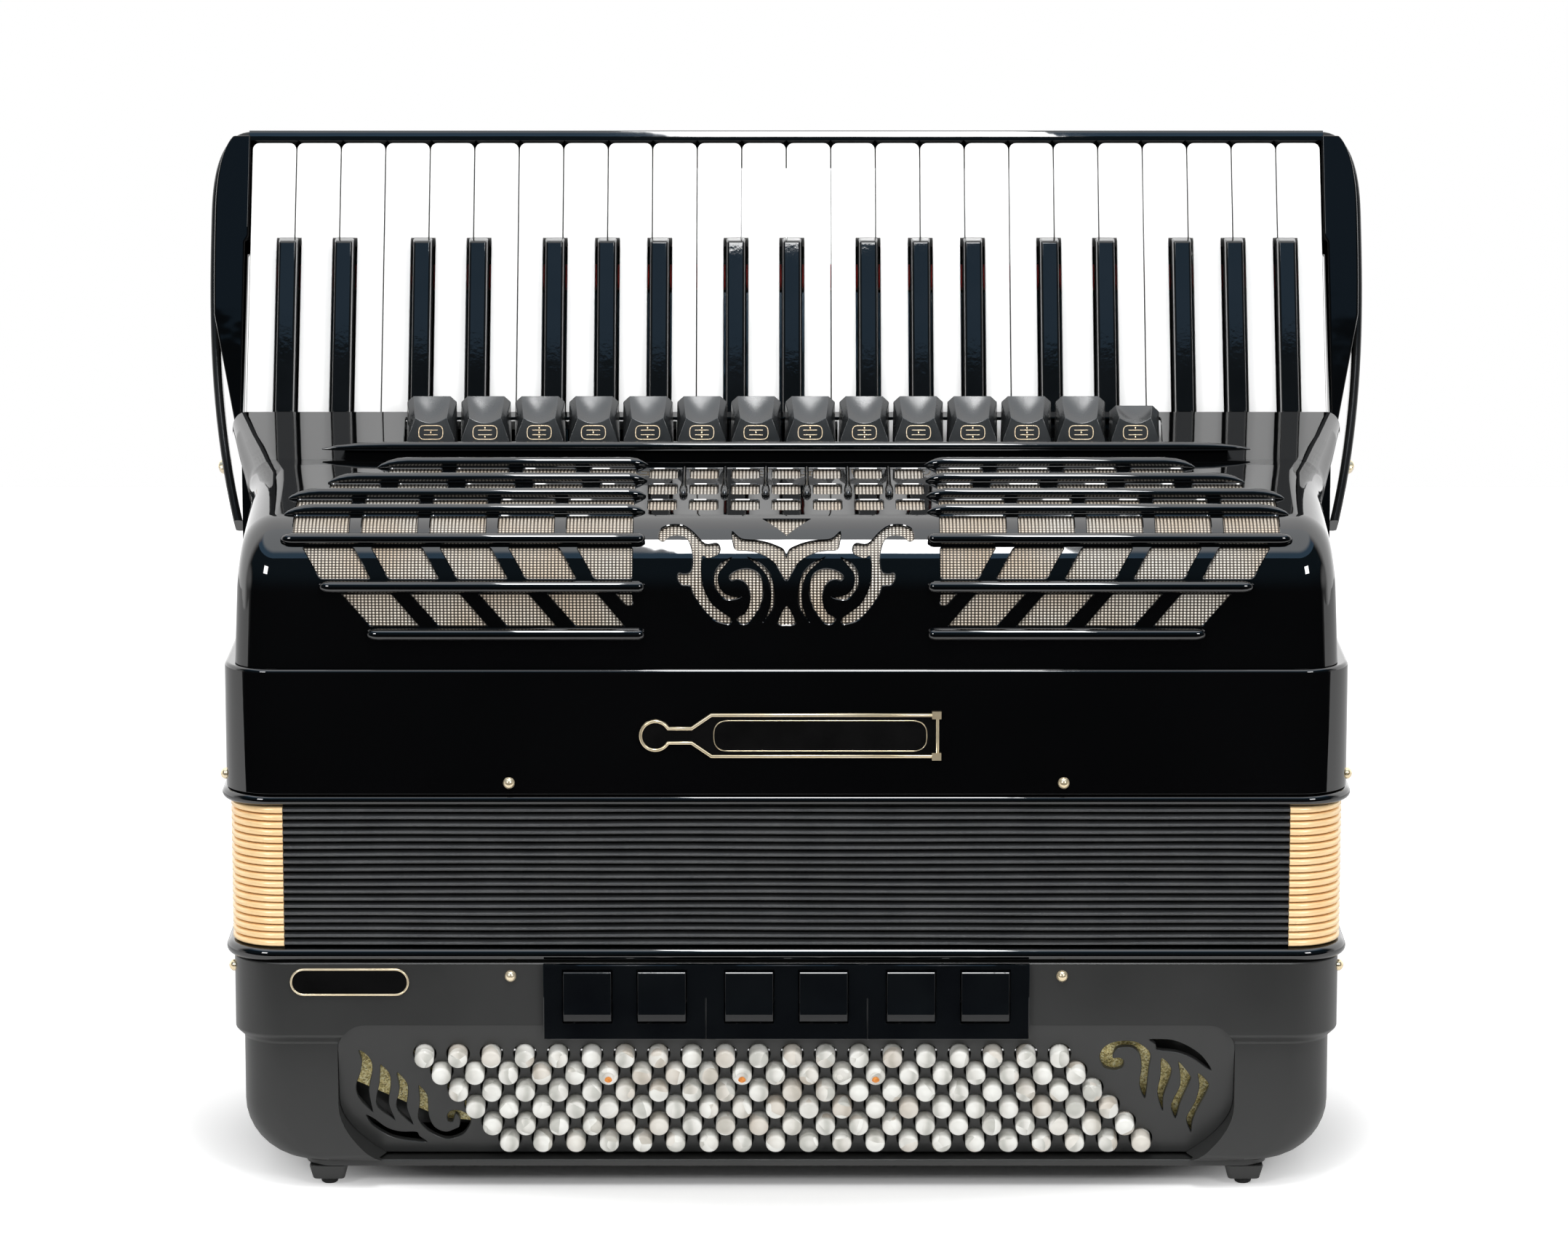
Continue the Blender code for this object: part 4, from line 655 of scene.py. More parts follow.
right_leaf = [
    [(358, 340), (390, 290), (450, 260), (540, 250), (620, 265), (690, 320), (706, 370),
     (695, 450), (680, 640), (660, 648), (630, 560), (640, 430), (625, 350), (590, 310),
     (530, 300), (470, 315), (450, 370), (490, 368), (525, 390), (515, 440), (460, 462),
     (390, 440), (360, 390)],
    [(685, 245), (735, 238), (850, 245), (960, 290), (1050, 355), (1112, 440), (1110, 462),
     (1060, 430), (980, 375), (870, 335), (745, 320), (730, 280)],
    [(770, 382), (800, 382), (845, 440), (845, 500), (800, 640), (800, 745), (780, 720),
     (752, 610), (770, 500)],
    [(888, 402), (915, 415), (978, 500), (975, 540), (915, 690), (888, 800), (860, 760),
     (850, 690), (900, 580), (905, 500)],
    [(1022, 485), (1050, 490), (1102, 550), (1098, 600), (1030, 740), (1000, 830), (995, 900),
     (975, 870), (955, 790), (1010, 680), (1035, 570)],
]
leaf_holes = []
for leaf, edge, start in ((left_leaf, BOARD_HALF, LEFT_START), (right_leaf, -BOARD_HALF, RIGHT_END)):
    for shape in leaf:
        leaf_holes.append([(edge - (x - start) * LEAF_UNIT[0], (y - LEAF_TOP) * LEAF_UNIT[1])
                           for x, y in flowing(shape, 3)])
button_holes = [circle(*button_place(row, column), BUTTON_HOLE / 2, BUTTON_HOLE_SIDES)
                for row in range(BUTTON_ROWS) for column in range(BUTTON_COLUMNS)]


def on_board(u, v):
    normal = (board.to_3x3() @ Vector((0, 0, 1))).normalized()
    return board @ Vector((u, v, 0)), normal


bm = bmesh.new()
corner_normals = add_pierced_sheet(
    bm, board_outline(), button_holes + leaf_holes, [], on_board, BOARD_THICKNESS, 0.25)
button_board = finish_piece("button_board_plate", bm, satin_black, orient=False)
set_normals(button_board, corner_normals)
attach(button_board, "bass_body")
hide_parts("bass_button_board")


def colour_ramp(tree, value, *stops):
    """Colour that runs through the (position, colour) stops; returns its socket."""
    ramp = add_node(tree, "ValToRGB", {0: value})
    elements = ramp.color_ramp.elements
    elements[0].position, elements[0].color = stops[0]
    elements[1].position, elements[1].color = stops[-1]
    for position, colour in stops[1:-1]:
        elements.new(position).color = colour
    return ramp.outputs[0]


glitter, tree, shader = new_material("gold_glitter", 0.4, metallic=0.1)
flakes = add_node(tree, "TexVoronoi", {"Vector": object_place(tree), "Scale": 1500.0})
tone = add_node(tree, "SeparateColor", {0: flakes.outputs["Color"]})
relief = add_node(tree, "Bump", {"Strength": 0.9, "Distance": 0.0005, "Height": tone.outputs[1]})
feed(tree, shader, {
    "Normal": relief.outputs[0],
    "Base Color": colour_ramp(tree, tone.outputs[0], (0, (0.30, 0.23, 0.06, 1)),
                              (0.6, (0.85, 0.72, 0.30, 1)), (1, (1.0, 0.95, 0.62, 1)))})
bm = bmesh.new()
for outline in (LEFT_CARD, RIGHT_CARD):
    add_prism(bm, outline, CARD_THICKNESS,
              board @ Matrix.Translation((0, 0, -BOARD_THICKNESS - LEAF_DEPTH)))
glitter_card = finish_piece("gold_glitter_card", bm, glitter)
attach(glitter_card, "bass_body")
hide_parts("bass_button_board")


# Bass buttons. White pearl celluloid studs with domed ends, each a little different; three
# of them are dished and carry an orange dot, so that the fingers find the middle rows.
BUTTON_DIAMETER, BUTTON_RISE, BUTTON_BASE = 8.4, 7, -4.5
BUTTON_SIDES, DOT_SIDES, DOT_SHIFT = 24, 16, 1.6
NOTE_ROWS = 2
MARKED_ROW, MARKED_COLUMNS = 1, (5, 9, 13)


def add_stud(bm, matrix, profile, sides):
    """Round body turned about the matrix's Z from (radius, height) pairs, base first."""
    add_loft(bm, [[matrix @ Vector((*point, height)) for point in circle(0, 0, radius, sides)]
                  for radius, height in profile])


pearl, tree, shader = new_material("white_pearl", 0.16)
cells = add_node(tree, "TexVoronoi", {"Vector": object_place(tree), "Scale": 85.0})
seed = add_node(tree, "SeparateColor", {0: cells.outputs["Color"]})
turned = add_node(tree, "VectorRotate", {
    "Vector": object_place(tree), "Angle": add_math(tree, "MULTIPLY", seed.outputs[0], 6.283)})
bands = add_node(tree, "TexWave", {
    "Vector": turned.outputs[0], "Scale": 34.0, "Distortion": 2.5, "Detail": 2.0,
    "Detail Scale": 1.2})
veins = colour_ramp(tree, bands.outputs["Fac"], (0, (0.50, 0.50, 0.46, 1)),
                    (0.3, (0.66, 0.65, 0.61, 1)), (1, (0.80, 0.80, 0.76, 1)))
stain = add_node(tree, "MapRange", {0: seed.outputs[1], 1: 0.72, 2: 1.0, 3: 0.0, 4: 0.45})
feed(tree, shader, {
    "Base Color": mix_colours(tree, stain.outputs[0], veins, (0.46, 0.36, 0.26, 1))})
orange_dot = finish_coat(
    "orange_dot", (0.55, 0.16, 0.02), (0.8, 0.3, 0.05), (0.3, 0.4), 900, (3000, 0.3, 0.0001))
dome = [(BUTTON_DIAMETER / 2, BUTTON_BASE), (BUTTON_DIAMETER / 2, BUTTON_RISE - 2.0)]
for angle in range(15, 91, 15):
    a = math.radians(angle)
    dome.append((BUTTON_DIAMETER / 2 - 1.6 + 1.6 * math.cos(a),
                 BUTTON_RISE - 2.0 + 1.3 * math.sin(a)))
dome += [(1.8, BUTTON_RISE - 0.35), (0.8, BUTTON_RISE - 0.08), (0.15, BUTTON_RISE)]
dished = dome[:-3] + [(2.3, BUTTON_RISE - 1.0), (1.4, BUTTON_RISE - 1.3), (0.2, BUTTON_RISE - 1.4)]
for name, body, node, rows in (
        ("note_button_studs", "note_button_bank", "bass_note_buttons", range(NOTE_ROWS)),
        ("chord_button_studs", "chord_button_bank", "chord_buttons", range(NOTE_ROWS, BUTTON_ROWS))):
    bm = bmesh.new()
    for row in rows:
        for column in range(BUTTON_COLUMNS):
            x, y = button_place(row, column)
            marked = row == MARKED_ROW and column in MARKED_COLUMNS
            add_stud(bm, board @ Matrix.Translation((x, y, 0)), dished if marked else dome,
                     BUTTON_SIDES)
    studs = finish_piece(name, bm, pearl, 40)
    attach(studs, body)
    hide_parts(node)
bm = bmesh.new()
for column in MARKED_COLUMNS:
    x, y = button_place(MARKED_ROW, column)
    add_stud(bm, board @ Matrix.Translation((x, y + DOT_SHIFT, 0)),
             [(1.7, BUTTON_RISE - 1.5), (1.6, BUTTON_RISE - 0.95), (0.9, BUTTON_RISE - 0.75)],
             DOT_SIDES)
dots = finish_piece("button_marks", bm, orange_dot, 40)
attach(dots, "note_button_bank")


# Bass register switches. Six glossy black paddles in a bright-edged black panel, made in
# three lengths, above the buttons.
PANEL_HALF, PANEL_BOTTOM, PANEL_THICKNESS = 104.2, 70, 3.2
PANEL_JOINTS, PANEL_JOINT_GAP, PANEL_SEAT = (-34.6, 34.9), 0.5, 0.3
PADDLE_WIDTH, PADDLE_TOP, PADDLE_HEIGHT, PADDLE_PROUD, PADDLE_LIP = 20.6, 100, 22, 2.2, 3.4
PADDLE_CENTRES = [group * 69.6 + side * 16 for group in (-1, 0, 1) for side in (-1, 1)]

LACQUER = ((0.0010, 0.0011, 0.0012), (0.0016, 0.0017, 0.0019), (0.02, 0.05), 9,
           (26, 0.10, 0.0012))
black_lacquer = finish_coat("black_lacquer", *LACQUER, specular=1.0)
paddle_black = finish_coat(
    "paddle_black", (0.0025, 0.003, 0.004), (0.004, 0.005, 0.006), (0.04, 0.09), 40,
    (420, 0.06, 0.0004))


def side_plane(x=0.0):
    """Matrix for outlines drawn in the YZ plane, extruded along +X from x."""
    return Matrix(((0, 0, 1, x), (1, 0, 0, 0), (0, 1, 0, 0), (0, 0, 0, 1)))


panel_back = FRONT - PANEL_SEAT
panel_top = bass_top - PANEL_SEAT
bm = bmesh.new()
limits = (-PANEL_HALF,) + PANEL_JOINTS + (PANEL_HALF,)
for part in range(3):
    low = limits[part] + (PANEL_JOINT_GAP / 2 if part else 0)
    high = limits[part + 1] - (PANEL_JOINT_GAP / 2 if part < 2 else 0)
    outline = rectangle(low, PANEL_BOTTOM, high, panel_top)
    half = PADDLE_WIDTH / 2 + 0.7
    windows = [rectangle(x - half, PADDLE_TOP - PADDLE_HEIGHT - 1.6, x + half, PADDLE_TOP + 0.7)
               for x in PADDLE_CENTRES[2 * part:2 * part + 2]]

    def on_panel(u, v):
        return Vector((u, panel_back - PANEL_THICKNESS, v)), Vector((0, -1, 0))

    normals = add_pierced_sheet(bm, outline, windows, [], on_panel, PANEL_THICKNESS, 0.35)
    corner_normals = normals if part == 0 else corner_normals + normals
panel_piece = finish_piece("bass_switch_surround", bm, paddle_black, orient=False)
set_normals(panel_piece, corner_normals)
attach(panel_piece, "bass_body")
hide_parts("bass_switch_panel")

face = panel_back - PANEL_THICKNESS - PADDLE_PROUD
paddle = [(FRONT + 3, PADDLE_TOP), (face + 0.6, PADDLE_TOP), (face, PADDLE_TOP - 0.6)]
for step in range(1, 8):
    share = step / 8
    bow = 0.5 * math.sin(math.pi * share)
    paddle.append((face - 0.6 * share + bow,
                   PADDLE_TOP - 0.6 - (PADDLE_HEIGHT - PADDLE_LIP - 0.6) * share))
bottom = PADDLE_TOP - PADDLE_HEIGHT
paddle += [(face - 0.6, bottom + PADDLE_LIP), (face - 0.2, bottom + PADDLE_LIP - 1.2),
           (face + 0.9, bottom), (FRONT + 3, bottom)]
bm = bmesh.new()
for x in PADDLE_CENTRES:
    add_prism(bm, paddle, PADDLE_WIDTH, side_plane(x - PADDLE_WIDTH / 2))
paddles = finish_piece("bass_switch_paddles", bm, paddle_black, 25, 0.25, 2)
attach(paddles, "bass_switch_bank")
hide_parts("bass_switches")


# Bass strap and air button. A stitched leather strap hangs a little from pads on the bass
# end; the brass air button stands on the back of the case, under the player's thumb.
STRAP_WIDTH, STRAP_HALF, STRAP_THICKNESS, STRAP_SAG = 62, 168, 2.2, 4.6
STRAP_PAD, STRAP_SEAT, STRAP_STEPS = 14, 0.3, 56
STITCH_PITCH, STITCH_LENGTH, STITCH_INSET, STITCH_MARGIN = 5.0, 3.2, 3.5, 6
strap_black = finish_coat(
    "black_leather", (0.012, 0.011, 0.010), (0.025, 0.023, 0.021), (0.45, 0.62), 35,
    (900, 0.5, 0.0004))
thread = finish_coat(
    "waxed_thread", (0.10, 0.09, 0.08), (0.18, 0.16, 0.14), (0.5, 0.65), 600, (4000, 0.5, 0.0002))
brass = finish_coat(
    "polished_gold", (0.88, 0.72, 0.46), (0.95, 0.82, 0.60), (0.16, 0.26), 60,
    (700, 0.08, 0.0002), metallic=0.72)


def strap_level(x):
    """Level of the strap's upper face: flat on the end pads, sagging between them."""
    share = (x + STRAP_HALF - STRAP_PAD) / (2 * STRAP_HALF - 2 * STRAP_PAD)
    if not 0 < share < 1:
        return plate_bottom - STRAP_SEAT
    return plate_bottom - STRAP_SEAT - STRAP_SAG * math.sin(math.pi * share) ** 0.5


bm = bmesh.new()
rows = []
for i in range(STRAP_STEPS + 1):
    x = -STRAP_HALF + 2 * STRAP_HALF * i / STRAP_STEPS
    top = strap_level(x)
    low = top - STRAP_THICKNESS
    half = STRAP_WIDTH / 2
    rows.append([(x, y, z) for y, z in (
        (-half, top - 0.5), (-half + 0.6, top), (half - 0.6, top), (half, top - 0.5),
        (half, low + 0.5), (half - 0.6, low), (-half + 0.6, low), (-half, low + 0.5))])
add_loft(bm, rows)
strap = finish_piece("bass_strap_band", bm, strap_black, 50)
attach(strap, "bass_body")
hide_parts("bass_strap")
bm = bmesh.new()
for side in (-1, 1):
    for i in range(int((2 * STRAP_HALF - 2 * STITCH_MARGIN) / STITCH_PITCH)):
        x = -STRAP_HALF + STITCH_MARGIN + i * STITCH_PITCH
        y = side * (STRAP_WIDTH / 2 - STITCH_INSET)
        rings = []
        for t, radius in ((0, 0.12), (0.2, 0.3), (0.8, 0.3), (1, 0.12)):
            here = x + STITCH_LENGTH * t
            level = strap_level(here) - STRAP_THICKNESS - 0.05
            rings.append([(here, y + a, level + b) for a, b in circle(0, 0, radius, 6)])
        add_loft(bm, rings)
stitches = finish_piece("bass_strap_stitches", bm, thread, 60)
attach(stitches, "bass_body")

AIR_X, AIR_Z, AIR_RADIUS = 178, 45, 6
bm = bmesh.new()
profile = [(AIR_RADIUS, -15), (AIR_RADIUS, 3.6), (AIR_RADIUS - 0.3, 4.6), (AIR_RADIUS - 1.2, 5.2),
           (AIR_RADIUS - 2.6, 5.45), (1, 5.5)]
add_stud(bm, Matrix.Translation((AIR_X, -FRONT, AIR_Z)) @ Matrix.Rotation(-math.pi / 2, 4, "X"),
         profile, 32)
air_button = finish_piece("air_button_cap", bm, brass, 40)
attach(air_button, "air_valve")
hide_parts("air_button")


# Bellows. Nineteen pleats of card, each capped with black cloth tape along its fold, and with
# bright gold metal round every corner.
BELLOWS_WIDTH, BELLOWS_INSET, RIBS, FOLD_DEPTH = 480.8, 1.2, 19, 9
PLEAT_STEPS, TAPE_THREADS = 8, 900.0
METAL_START, METAL_SIDE_END = 216, 66
# Section of one metal strip: share of the pleat from its middle, and depth under the crown
METAL_SECTION = ((-0.43, 4.2), (-0.42, 1.2), (-0.36, 0.2), (-0.2, -0.35),
                 (0.2, -0.35), (0.36, 0.2), (0.42, 1.2), (0.43, 4.2))

bellows_low, bellows_high = levels_of("bellows")
rib = (bellows_high - bellows_low) / RIBS


def plan_ring(width, inset, z, steps=10, front_steps=0, wander=None):
    """Ring of the body's plan; the corner stays concentric, and long sides may be divided."""
    radius = max(BODY_CORNER - inset, 2)
    ring = rounded_ring(width / 2 - inset, BODY_DEPTH / 2 - inset, radius, z, steps)
    if not front_steps:
        return ring
    full = []
    for i, point in enumerate(ring):
        full.append(point)
        after = ring[(i + 1) % len(ring)]
        gap = (Vector(after) - Vector(point)).length
        if gap > 60:
            count = int(gap / 400 * front_steps)
            for k in range(1, count):
                full.append(tuple(Vector(point).lerp(Vector(after), k / count)))
    return [wander(point) for point in full] if wander else full


def rib_inset(share):
    """Depth of the fold at a share of one pleat's height: a round tape edge, then the fold."""
    swing = abs(2 * share - 1)
    return FOLD_DEPTH * max(0.0, (swing - 0.25) / 0.75) ** 2.2 + 0.9 * swing ** 2


def wavering(point):
    """Lift the pleats a little unevenly, but not at the frames, where they are glued."""
    x, y, z = point
    lift = 0.35 * noise.noise(Vector((x * 0.012, y * 0.012, z * 0.05)))
    fade = max(0.0, min(1.0, (z - bellows_low) / 3)) * max(0.0, min(1.0, (bellows_high - z) / 3))
    return (x, y, z + lift * fade)


tape = finish_coat(
    "bellows_cloth_tape", (0.036, 0.038, 0.040), (0.052, 0.054, 0.056), (0.30, 0.42), 60,
    (2600, 0.35, 0.0003), specular=0.8)
tree, shader = shader_of(tape)
threads = add_node(tree, "TexWave", {
    "Vector": object_place(tree), "Scale": TAPE_THREADS, "Distortion": 1.5, "Detail": 1.0})
crossed = add_node(tree, "TexWave", {
    "Vector": object_place(tree), "Scale": TAPE_THREADS, "Distortion": 1.5}, bands_direction="Z")
cloth_bump = add_node(tree, "Bump", {
    "Strength": 0.35, "Distance": 0.0003,
    "Height": add_math(tree, "ADD", threads.outputs["Fac"], crossed.outputs["Fac"]),
    "Normal": shader.inputs["Normal"].links[0].from_socket})
feed(tree, shader, {"Normal": cloth_bump.outputs[0]})

bm = bmesh.new()
outer = []
for index in range(RIBS * PLEAT_STEPS + 1):
    share = (index % PLEAT_STEPS) / PLEAT_STEPS
    z = bellows_low + rib * index / PLEAT_STEPS
    inset = BELLOWS_INSET + rib_inset(share)
    outer.append(plan_ring(BELLOWS_WIDTH, inset, z, 8, 44, wavering))
inner = [plan_ring(BELLOWS_WIDTH, BELLOWS_INSET + FOLD_DEPTH + 4, z, 8, 44, wavering)
         for z in (bellows_high, bellows_low)]
add_loft(bm, outer + inner, closed=True)
bellows = finish_piece("bellows_pleats", bm, tape, 60)
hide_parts("bellows")
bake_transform(bellows)

corner_gold = finish_coat(
    "corner_gold", (0.98, 0.66, 0.32), (1.0, 0.76, 0.44), (0.2, 0.28), 40,
    (500, 0.05, 0.0002), metallic=0.15, specular=0.8)
bm = bmesh.new()
metal_half = BELLOWS_WIDTH / 2 - BELLOWS_INSET
centre_x = BELLOWS_WIDTH / 2 - BODY_CORNER
centre_y = BODY_DEPTH / 2 - BODY_CORNER
for sx in (-1, 1):
    for sy in (-1, 1):
        for index in range(RIBS):
            middle = bellows_low + rib * (index + 0.5)
            rings = []
            stations = [("x", METAL_START), ("x", (METAL_START + centre_x) / 2)]
            stations += [("angle", angle) for angle in range(0, 91, 10)]
            stations += [("y", METAL_SIDE_END + 4), ("y", METAL_SIDE_END)]
            for kind, value in stations:
                ring = []
                for level, depth in METAL_SECTION:
                    radius = BODY_CORNER - BELLOWS_INSET - depth
                    if kind == "x":
                        x, y = value, BODY_DEPTH / 2 - BELLOWS_INSET - depth
                    elif kind == "y":
                        x, y = metal_half - depth, value
                    else:
                        a = math.radians(value)
                        x = centre_x + radius * math.sin(a)
                        y = centre_y + radius * math.cos(a)
                    ring.append(wavering((sx * x, sy * y, middle + level * rib)))
                rings.append(ring)
            add_loft(bm, rings)
corners = finish_piece("bellows_corner_metal", bm, corner_gold, 60)
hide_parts("bellows")
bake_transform(corners)


# Bellows frames and treble case. Glossy black wood: two rings with round edges hold the
# bellows, and the treble case stands on the upper one.
FRAMES = (("bass_bellows_ring", "bass_bellows_frame", 484.6, "bass_body"),
          ("treble_bellows_ring", "treble_bellows_frame", 486.4, "treble_body"))
FRAME_WALL, FRAME_EDGE = 12, 3.2
CASE_WIDTH, CASE_WALL = 482.6, 5

for name, node, width, body in FRAMES:
    low, high = levels_of(node)
    half = (high - low) / 2
    rings = [plan_ring(width, FRAME_WALL, low, 14)]
    for angle in range(-90, 91, 15):
        a = math.radians(angle)
        rings.append(plan_ring(width, FRAME_EDGE * (1 - math.cos(a)),
                               low + half + half * math.sin(a), 14))
    rings.append(plan_ring(width, FRAME_WALL, high, 14))
    bm = bmesh.new()
    add_loft(bm, rings, closed=True)
    ring = finish_piece(name, bm, black_lacquer, 50)
    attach(ring, body)
    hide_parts(node)

case_low, case_high = levels_of("treble_case")
levels = [(CASE_WALL, case_high - 13), (CASE_WALL, case_low), (0.3, case_low), (0, case_low + 0.3),
          (0, case_high - 1.6), (0.1, case_high - 1.0), (0.45, case_high - 0.45), (1.0, case_high - 0.1),
          (1.6, case_high), (8, case_high), (8, case_high - 8)]
bm = bmesh.new()
add_loft(bm, [plan_ring(CASE_WIDTH, inset, z, 16) for inset, z in levels])
treble_case = finish_piece("treble_case_shell", bm, black_lacquer)
settle_shading(treble_case, 50)
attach(treble_case, "treble_body")
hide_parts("treble_case")


def paint_node(name, material):
    """Give a material to a node that shows as it is."""
    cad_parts[name].data.materials.clear()
    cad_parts[name].data.materials.append(material)


reed_wood = finish_coat(
    "reed_block_wood", (0.42, 0.25, 0.12), (0.62, 0.42, 0.22), (0.5, 0.65), 90, (900, 0.4, 0.0004))
tree, shader = shader_of(reed_wood)
stretched = add_node(tree, "Mapping", {
    "Vector": object_place(tree), "Scale": (6.0, 120.0, 120.0)})
growth = add_node(tree, "TexNoise", {"Vector": stretched.outputs[0], "Scale": 1.0, "Detail": 6.0})
feed(tree, shader, {"Base Color": colour_ramp(
    tree, growth.outputs[0], (0, (0.30, 0.17, 0.08, 1)), (1, (0.66, 0.46, 0.26, 1)))})
paint_node("treble_reed_blocks", reed_wood)


# Grille cover. One glossy black casting over the treble action: a straight front, a round
# brow, a gentle slope pierced by windows, and a steeper ledge that carries the switches.
COVER_FRONT, COVER_FRONT_HEIGHT, BROW_RADIUS = -101.4, 33, 30
COVER_SLOPE, LEDGE_SLOPE, LEDGE_START, COVER_BACK = 9.5, 33, -6, 20
FOOT_HALF, WAIST_HALF, EAR_HALF, SIDE_RADIUS = 236.5, 233.75, 245, 16
COVER_THICKNESS, PIERCED_THICKNESS = 3, 1.2
EAR_RADIUS, EAR_FOOT, EAR_TOP, MIRROR_SLOPE = 6, 284, 314, 8
FLAT_HALF = 217
SLAT_SPACING, LOWEST_SLAT, SLAT_WIDTH, SLAT_INNER = 20.5, 15, 5, 60.5
SLAT_OUTER_ENDS = [179, 199, 215.6, 215, 214.6, 199, 178.6]
WINDOW_ROWS = [(177.5, 190, 7.5), (198.7, 206.6, 7), (211, 211, 4.7), (211, 211, 5), (198, 198, 7),
               (173.7, 173.7, 5.5)]
WINDOWS_IN_ROW, WINDOW_PITCH, WINDOW_INNER, WINDOW_EDGE = 5, 29.2, 65.3, 0.5
GRID_ROWS, GRID_COLUMNS, GRID_PITCH, CELL_WIDTH, CELL_LENGTH = (3, 4, 5), 7, 17.8, 12.8, 14.5
SWITCH_SLOT_HALF, SWITCH_SHIFT, SWITCH_SLOT_Y = 167.1, -1.4, (1.4, 17.2)

cover_bottom = levels_of("grille_cover")[0]
slope = math.radians(COVER_SLOPE)
steep = math.radians(LEDGE_SLOPE)
sweep = math.pi / 2 - slope
brow_length = BROW_RADIUS * sweep
brow_top = Vector((COVER_FRONT + BROW_RADIUS * (1 - math.sin(slope)),
                   cover_bottom + COVER_FRONT_HEIGHT + BROW_RADIUS * math.cos(slope)))
slope_length = (LEDGE_START - brow_top.x) / math.cos(slope)
crease = COVER_FRONT_HEIGHT + brow_length + slope_length
ledge_length = (COVER_BACK - LEDGE_START) / math.cos(steep)
slope_normal = Vector((-math.sin(slope), math.cos(slope)))
# The polished ledge is hollow like a shallow dish, so it mirrors the keys as a flatter face would
hollow = math.radians(MIRROR_SLOPE)
ledge_normal = Vector((-math.sin(hollow), math.cos(hollow)))


def cover_point(length):
    """Place (y, z) and outward normal at a length along the section, from the front seam."""
    if length <= COVER_FRONT_HEIGHT:
        return Vector((COVER_FRONT, cover_bottom + length)), Vector((-1, 0))
    past = length - COVER_FRONT_HEIGHT
    angle = min(past / BROW_RADIUS, sweep)
    normal = Vector((-math.cos(angle), math.sin(angle)))
    centre = Vector((COVER_FRONT + BROW_RADIUS, cover_bottom + COVER_FRONT_HEIGHT))
    place = centre + normal * BROW_RADIUS
    past = min(past - brow_length, slope_length)
    if past > 0:
        place = place + Vector((math.cos(slope), math.sin(slope))) * past
    past = length - crease
    if past > 0.001:
        return place + Vector((math.cos(steep), math.sin(steep))) * past, ledge_normal
    if past > -0.001:
        return place, (slope_normal + ledge_normal).normalized()
    return place, normal


def on_cover(u, v):
    place, normal = cover_point(v)
    return Vector((u, place.x, place.y)), Vector((0, normal.x, normal.y))


def cover_half(y, z):
    rise = max(0.0, min(1.0, (z - cover_bottom) / (COVER_FRONT_HEIGHT + BROW_RADIUS)))
    half = FOOT_HALF + (WAIST_HALF - FOOT_HALF) * rise
    lift = max(0.0, min(1.0, (z - EAR_FOOT) / (EAR_TOP - EAR_FOOT)))
    return half + (EAR_HALF - half) * ear_share(y) ** 1.25 * lift ** 0.8


def ear_share(y):
    start = LEDGE_START - SIDE_RADIUS
    return max(0.0, min(1.0, (y - start) / (COVER_BACK - start)))


def rounded(points, radius, steps=4):
    """Polygon with each corner turned into a short curve."""
    line = []
    count = len(points)
    for i in range(count):
        before, here, after = (Vector(points[(i + k) % count]) for k in (-1, 0, 1))
        reach = min(radius, (before - here).length / 2.2, (after - here).length / 2.2)
        a = here + (before - here).normalized() * reach
        c = here + (after - here).normalized() * reach
        for step in range(steps + 1):
            t = step / steps
            line.append(tuple(a * (1 - t) ** 2 + here * 2 * t * (1 - t) + c * t ** 2))
    return line


def slat_length(index):
    return LOWEST_SLAT + index * SLAT_SPACING


windows = []
clear = SLAT_WIDTH / 2 + WINDOW_EDGE
for row, (outer_low, outer_high, bar) in enumerate(WINDOW_ROWS):
    low = slat_length(row) + clear
    high = slat_length(row + 1) - clear
    for index in range(WINDOWS_IN_ROW):
        ends = []
        for far in (outer_low, outer_high):
            start = far - index * WINDOW_PITCH
            stop = max(start - WINDOW_PITCH + bar, WINDOW_INNER)
            if index == WINDOWS_IN_ROW - 1:
                stop = WINDOW_INNER
            ends.append((start, stop))
        if ends[1][0] < WINDOW_INNER + 5:
            continue
        foot = low
        if ends[0][0] < WINDOW_INNER + 3:
            share = (WINDOW_INNER + 3 - ends[0][0]) / (ends[1][0] - ends[0][0])
            foot = low + (high - low) * share
            ends[0] = (WINDOW_INNER + 3, WINDOW_INNER)
        for side in (-1, 1):
            corners = [(side * ends[0][0], foot), (side * ends[0][1], foot),
                       (side * ends[1][1], high), (side * ends[1][0], high)]
            windows.append(rounded(corners, 1.6))
for row in GRID_ROWS:
    middle = slat_length(row) + SLAT_SPACING / 2
    for column in range(GRID_COLUMNS):
        x = (column - (GRID_COLUMNS - 1) / 2) * GRID_PITCH
        half_x, half_s = CELL_WIDTH / 2, CELL_LENGTH / 2
        windows.append(rounded(
            rectangle(x - half_x, middle - half_s, x + half_x, middle + half_s), 2.4))

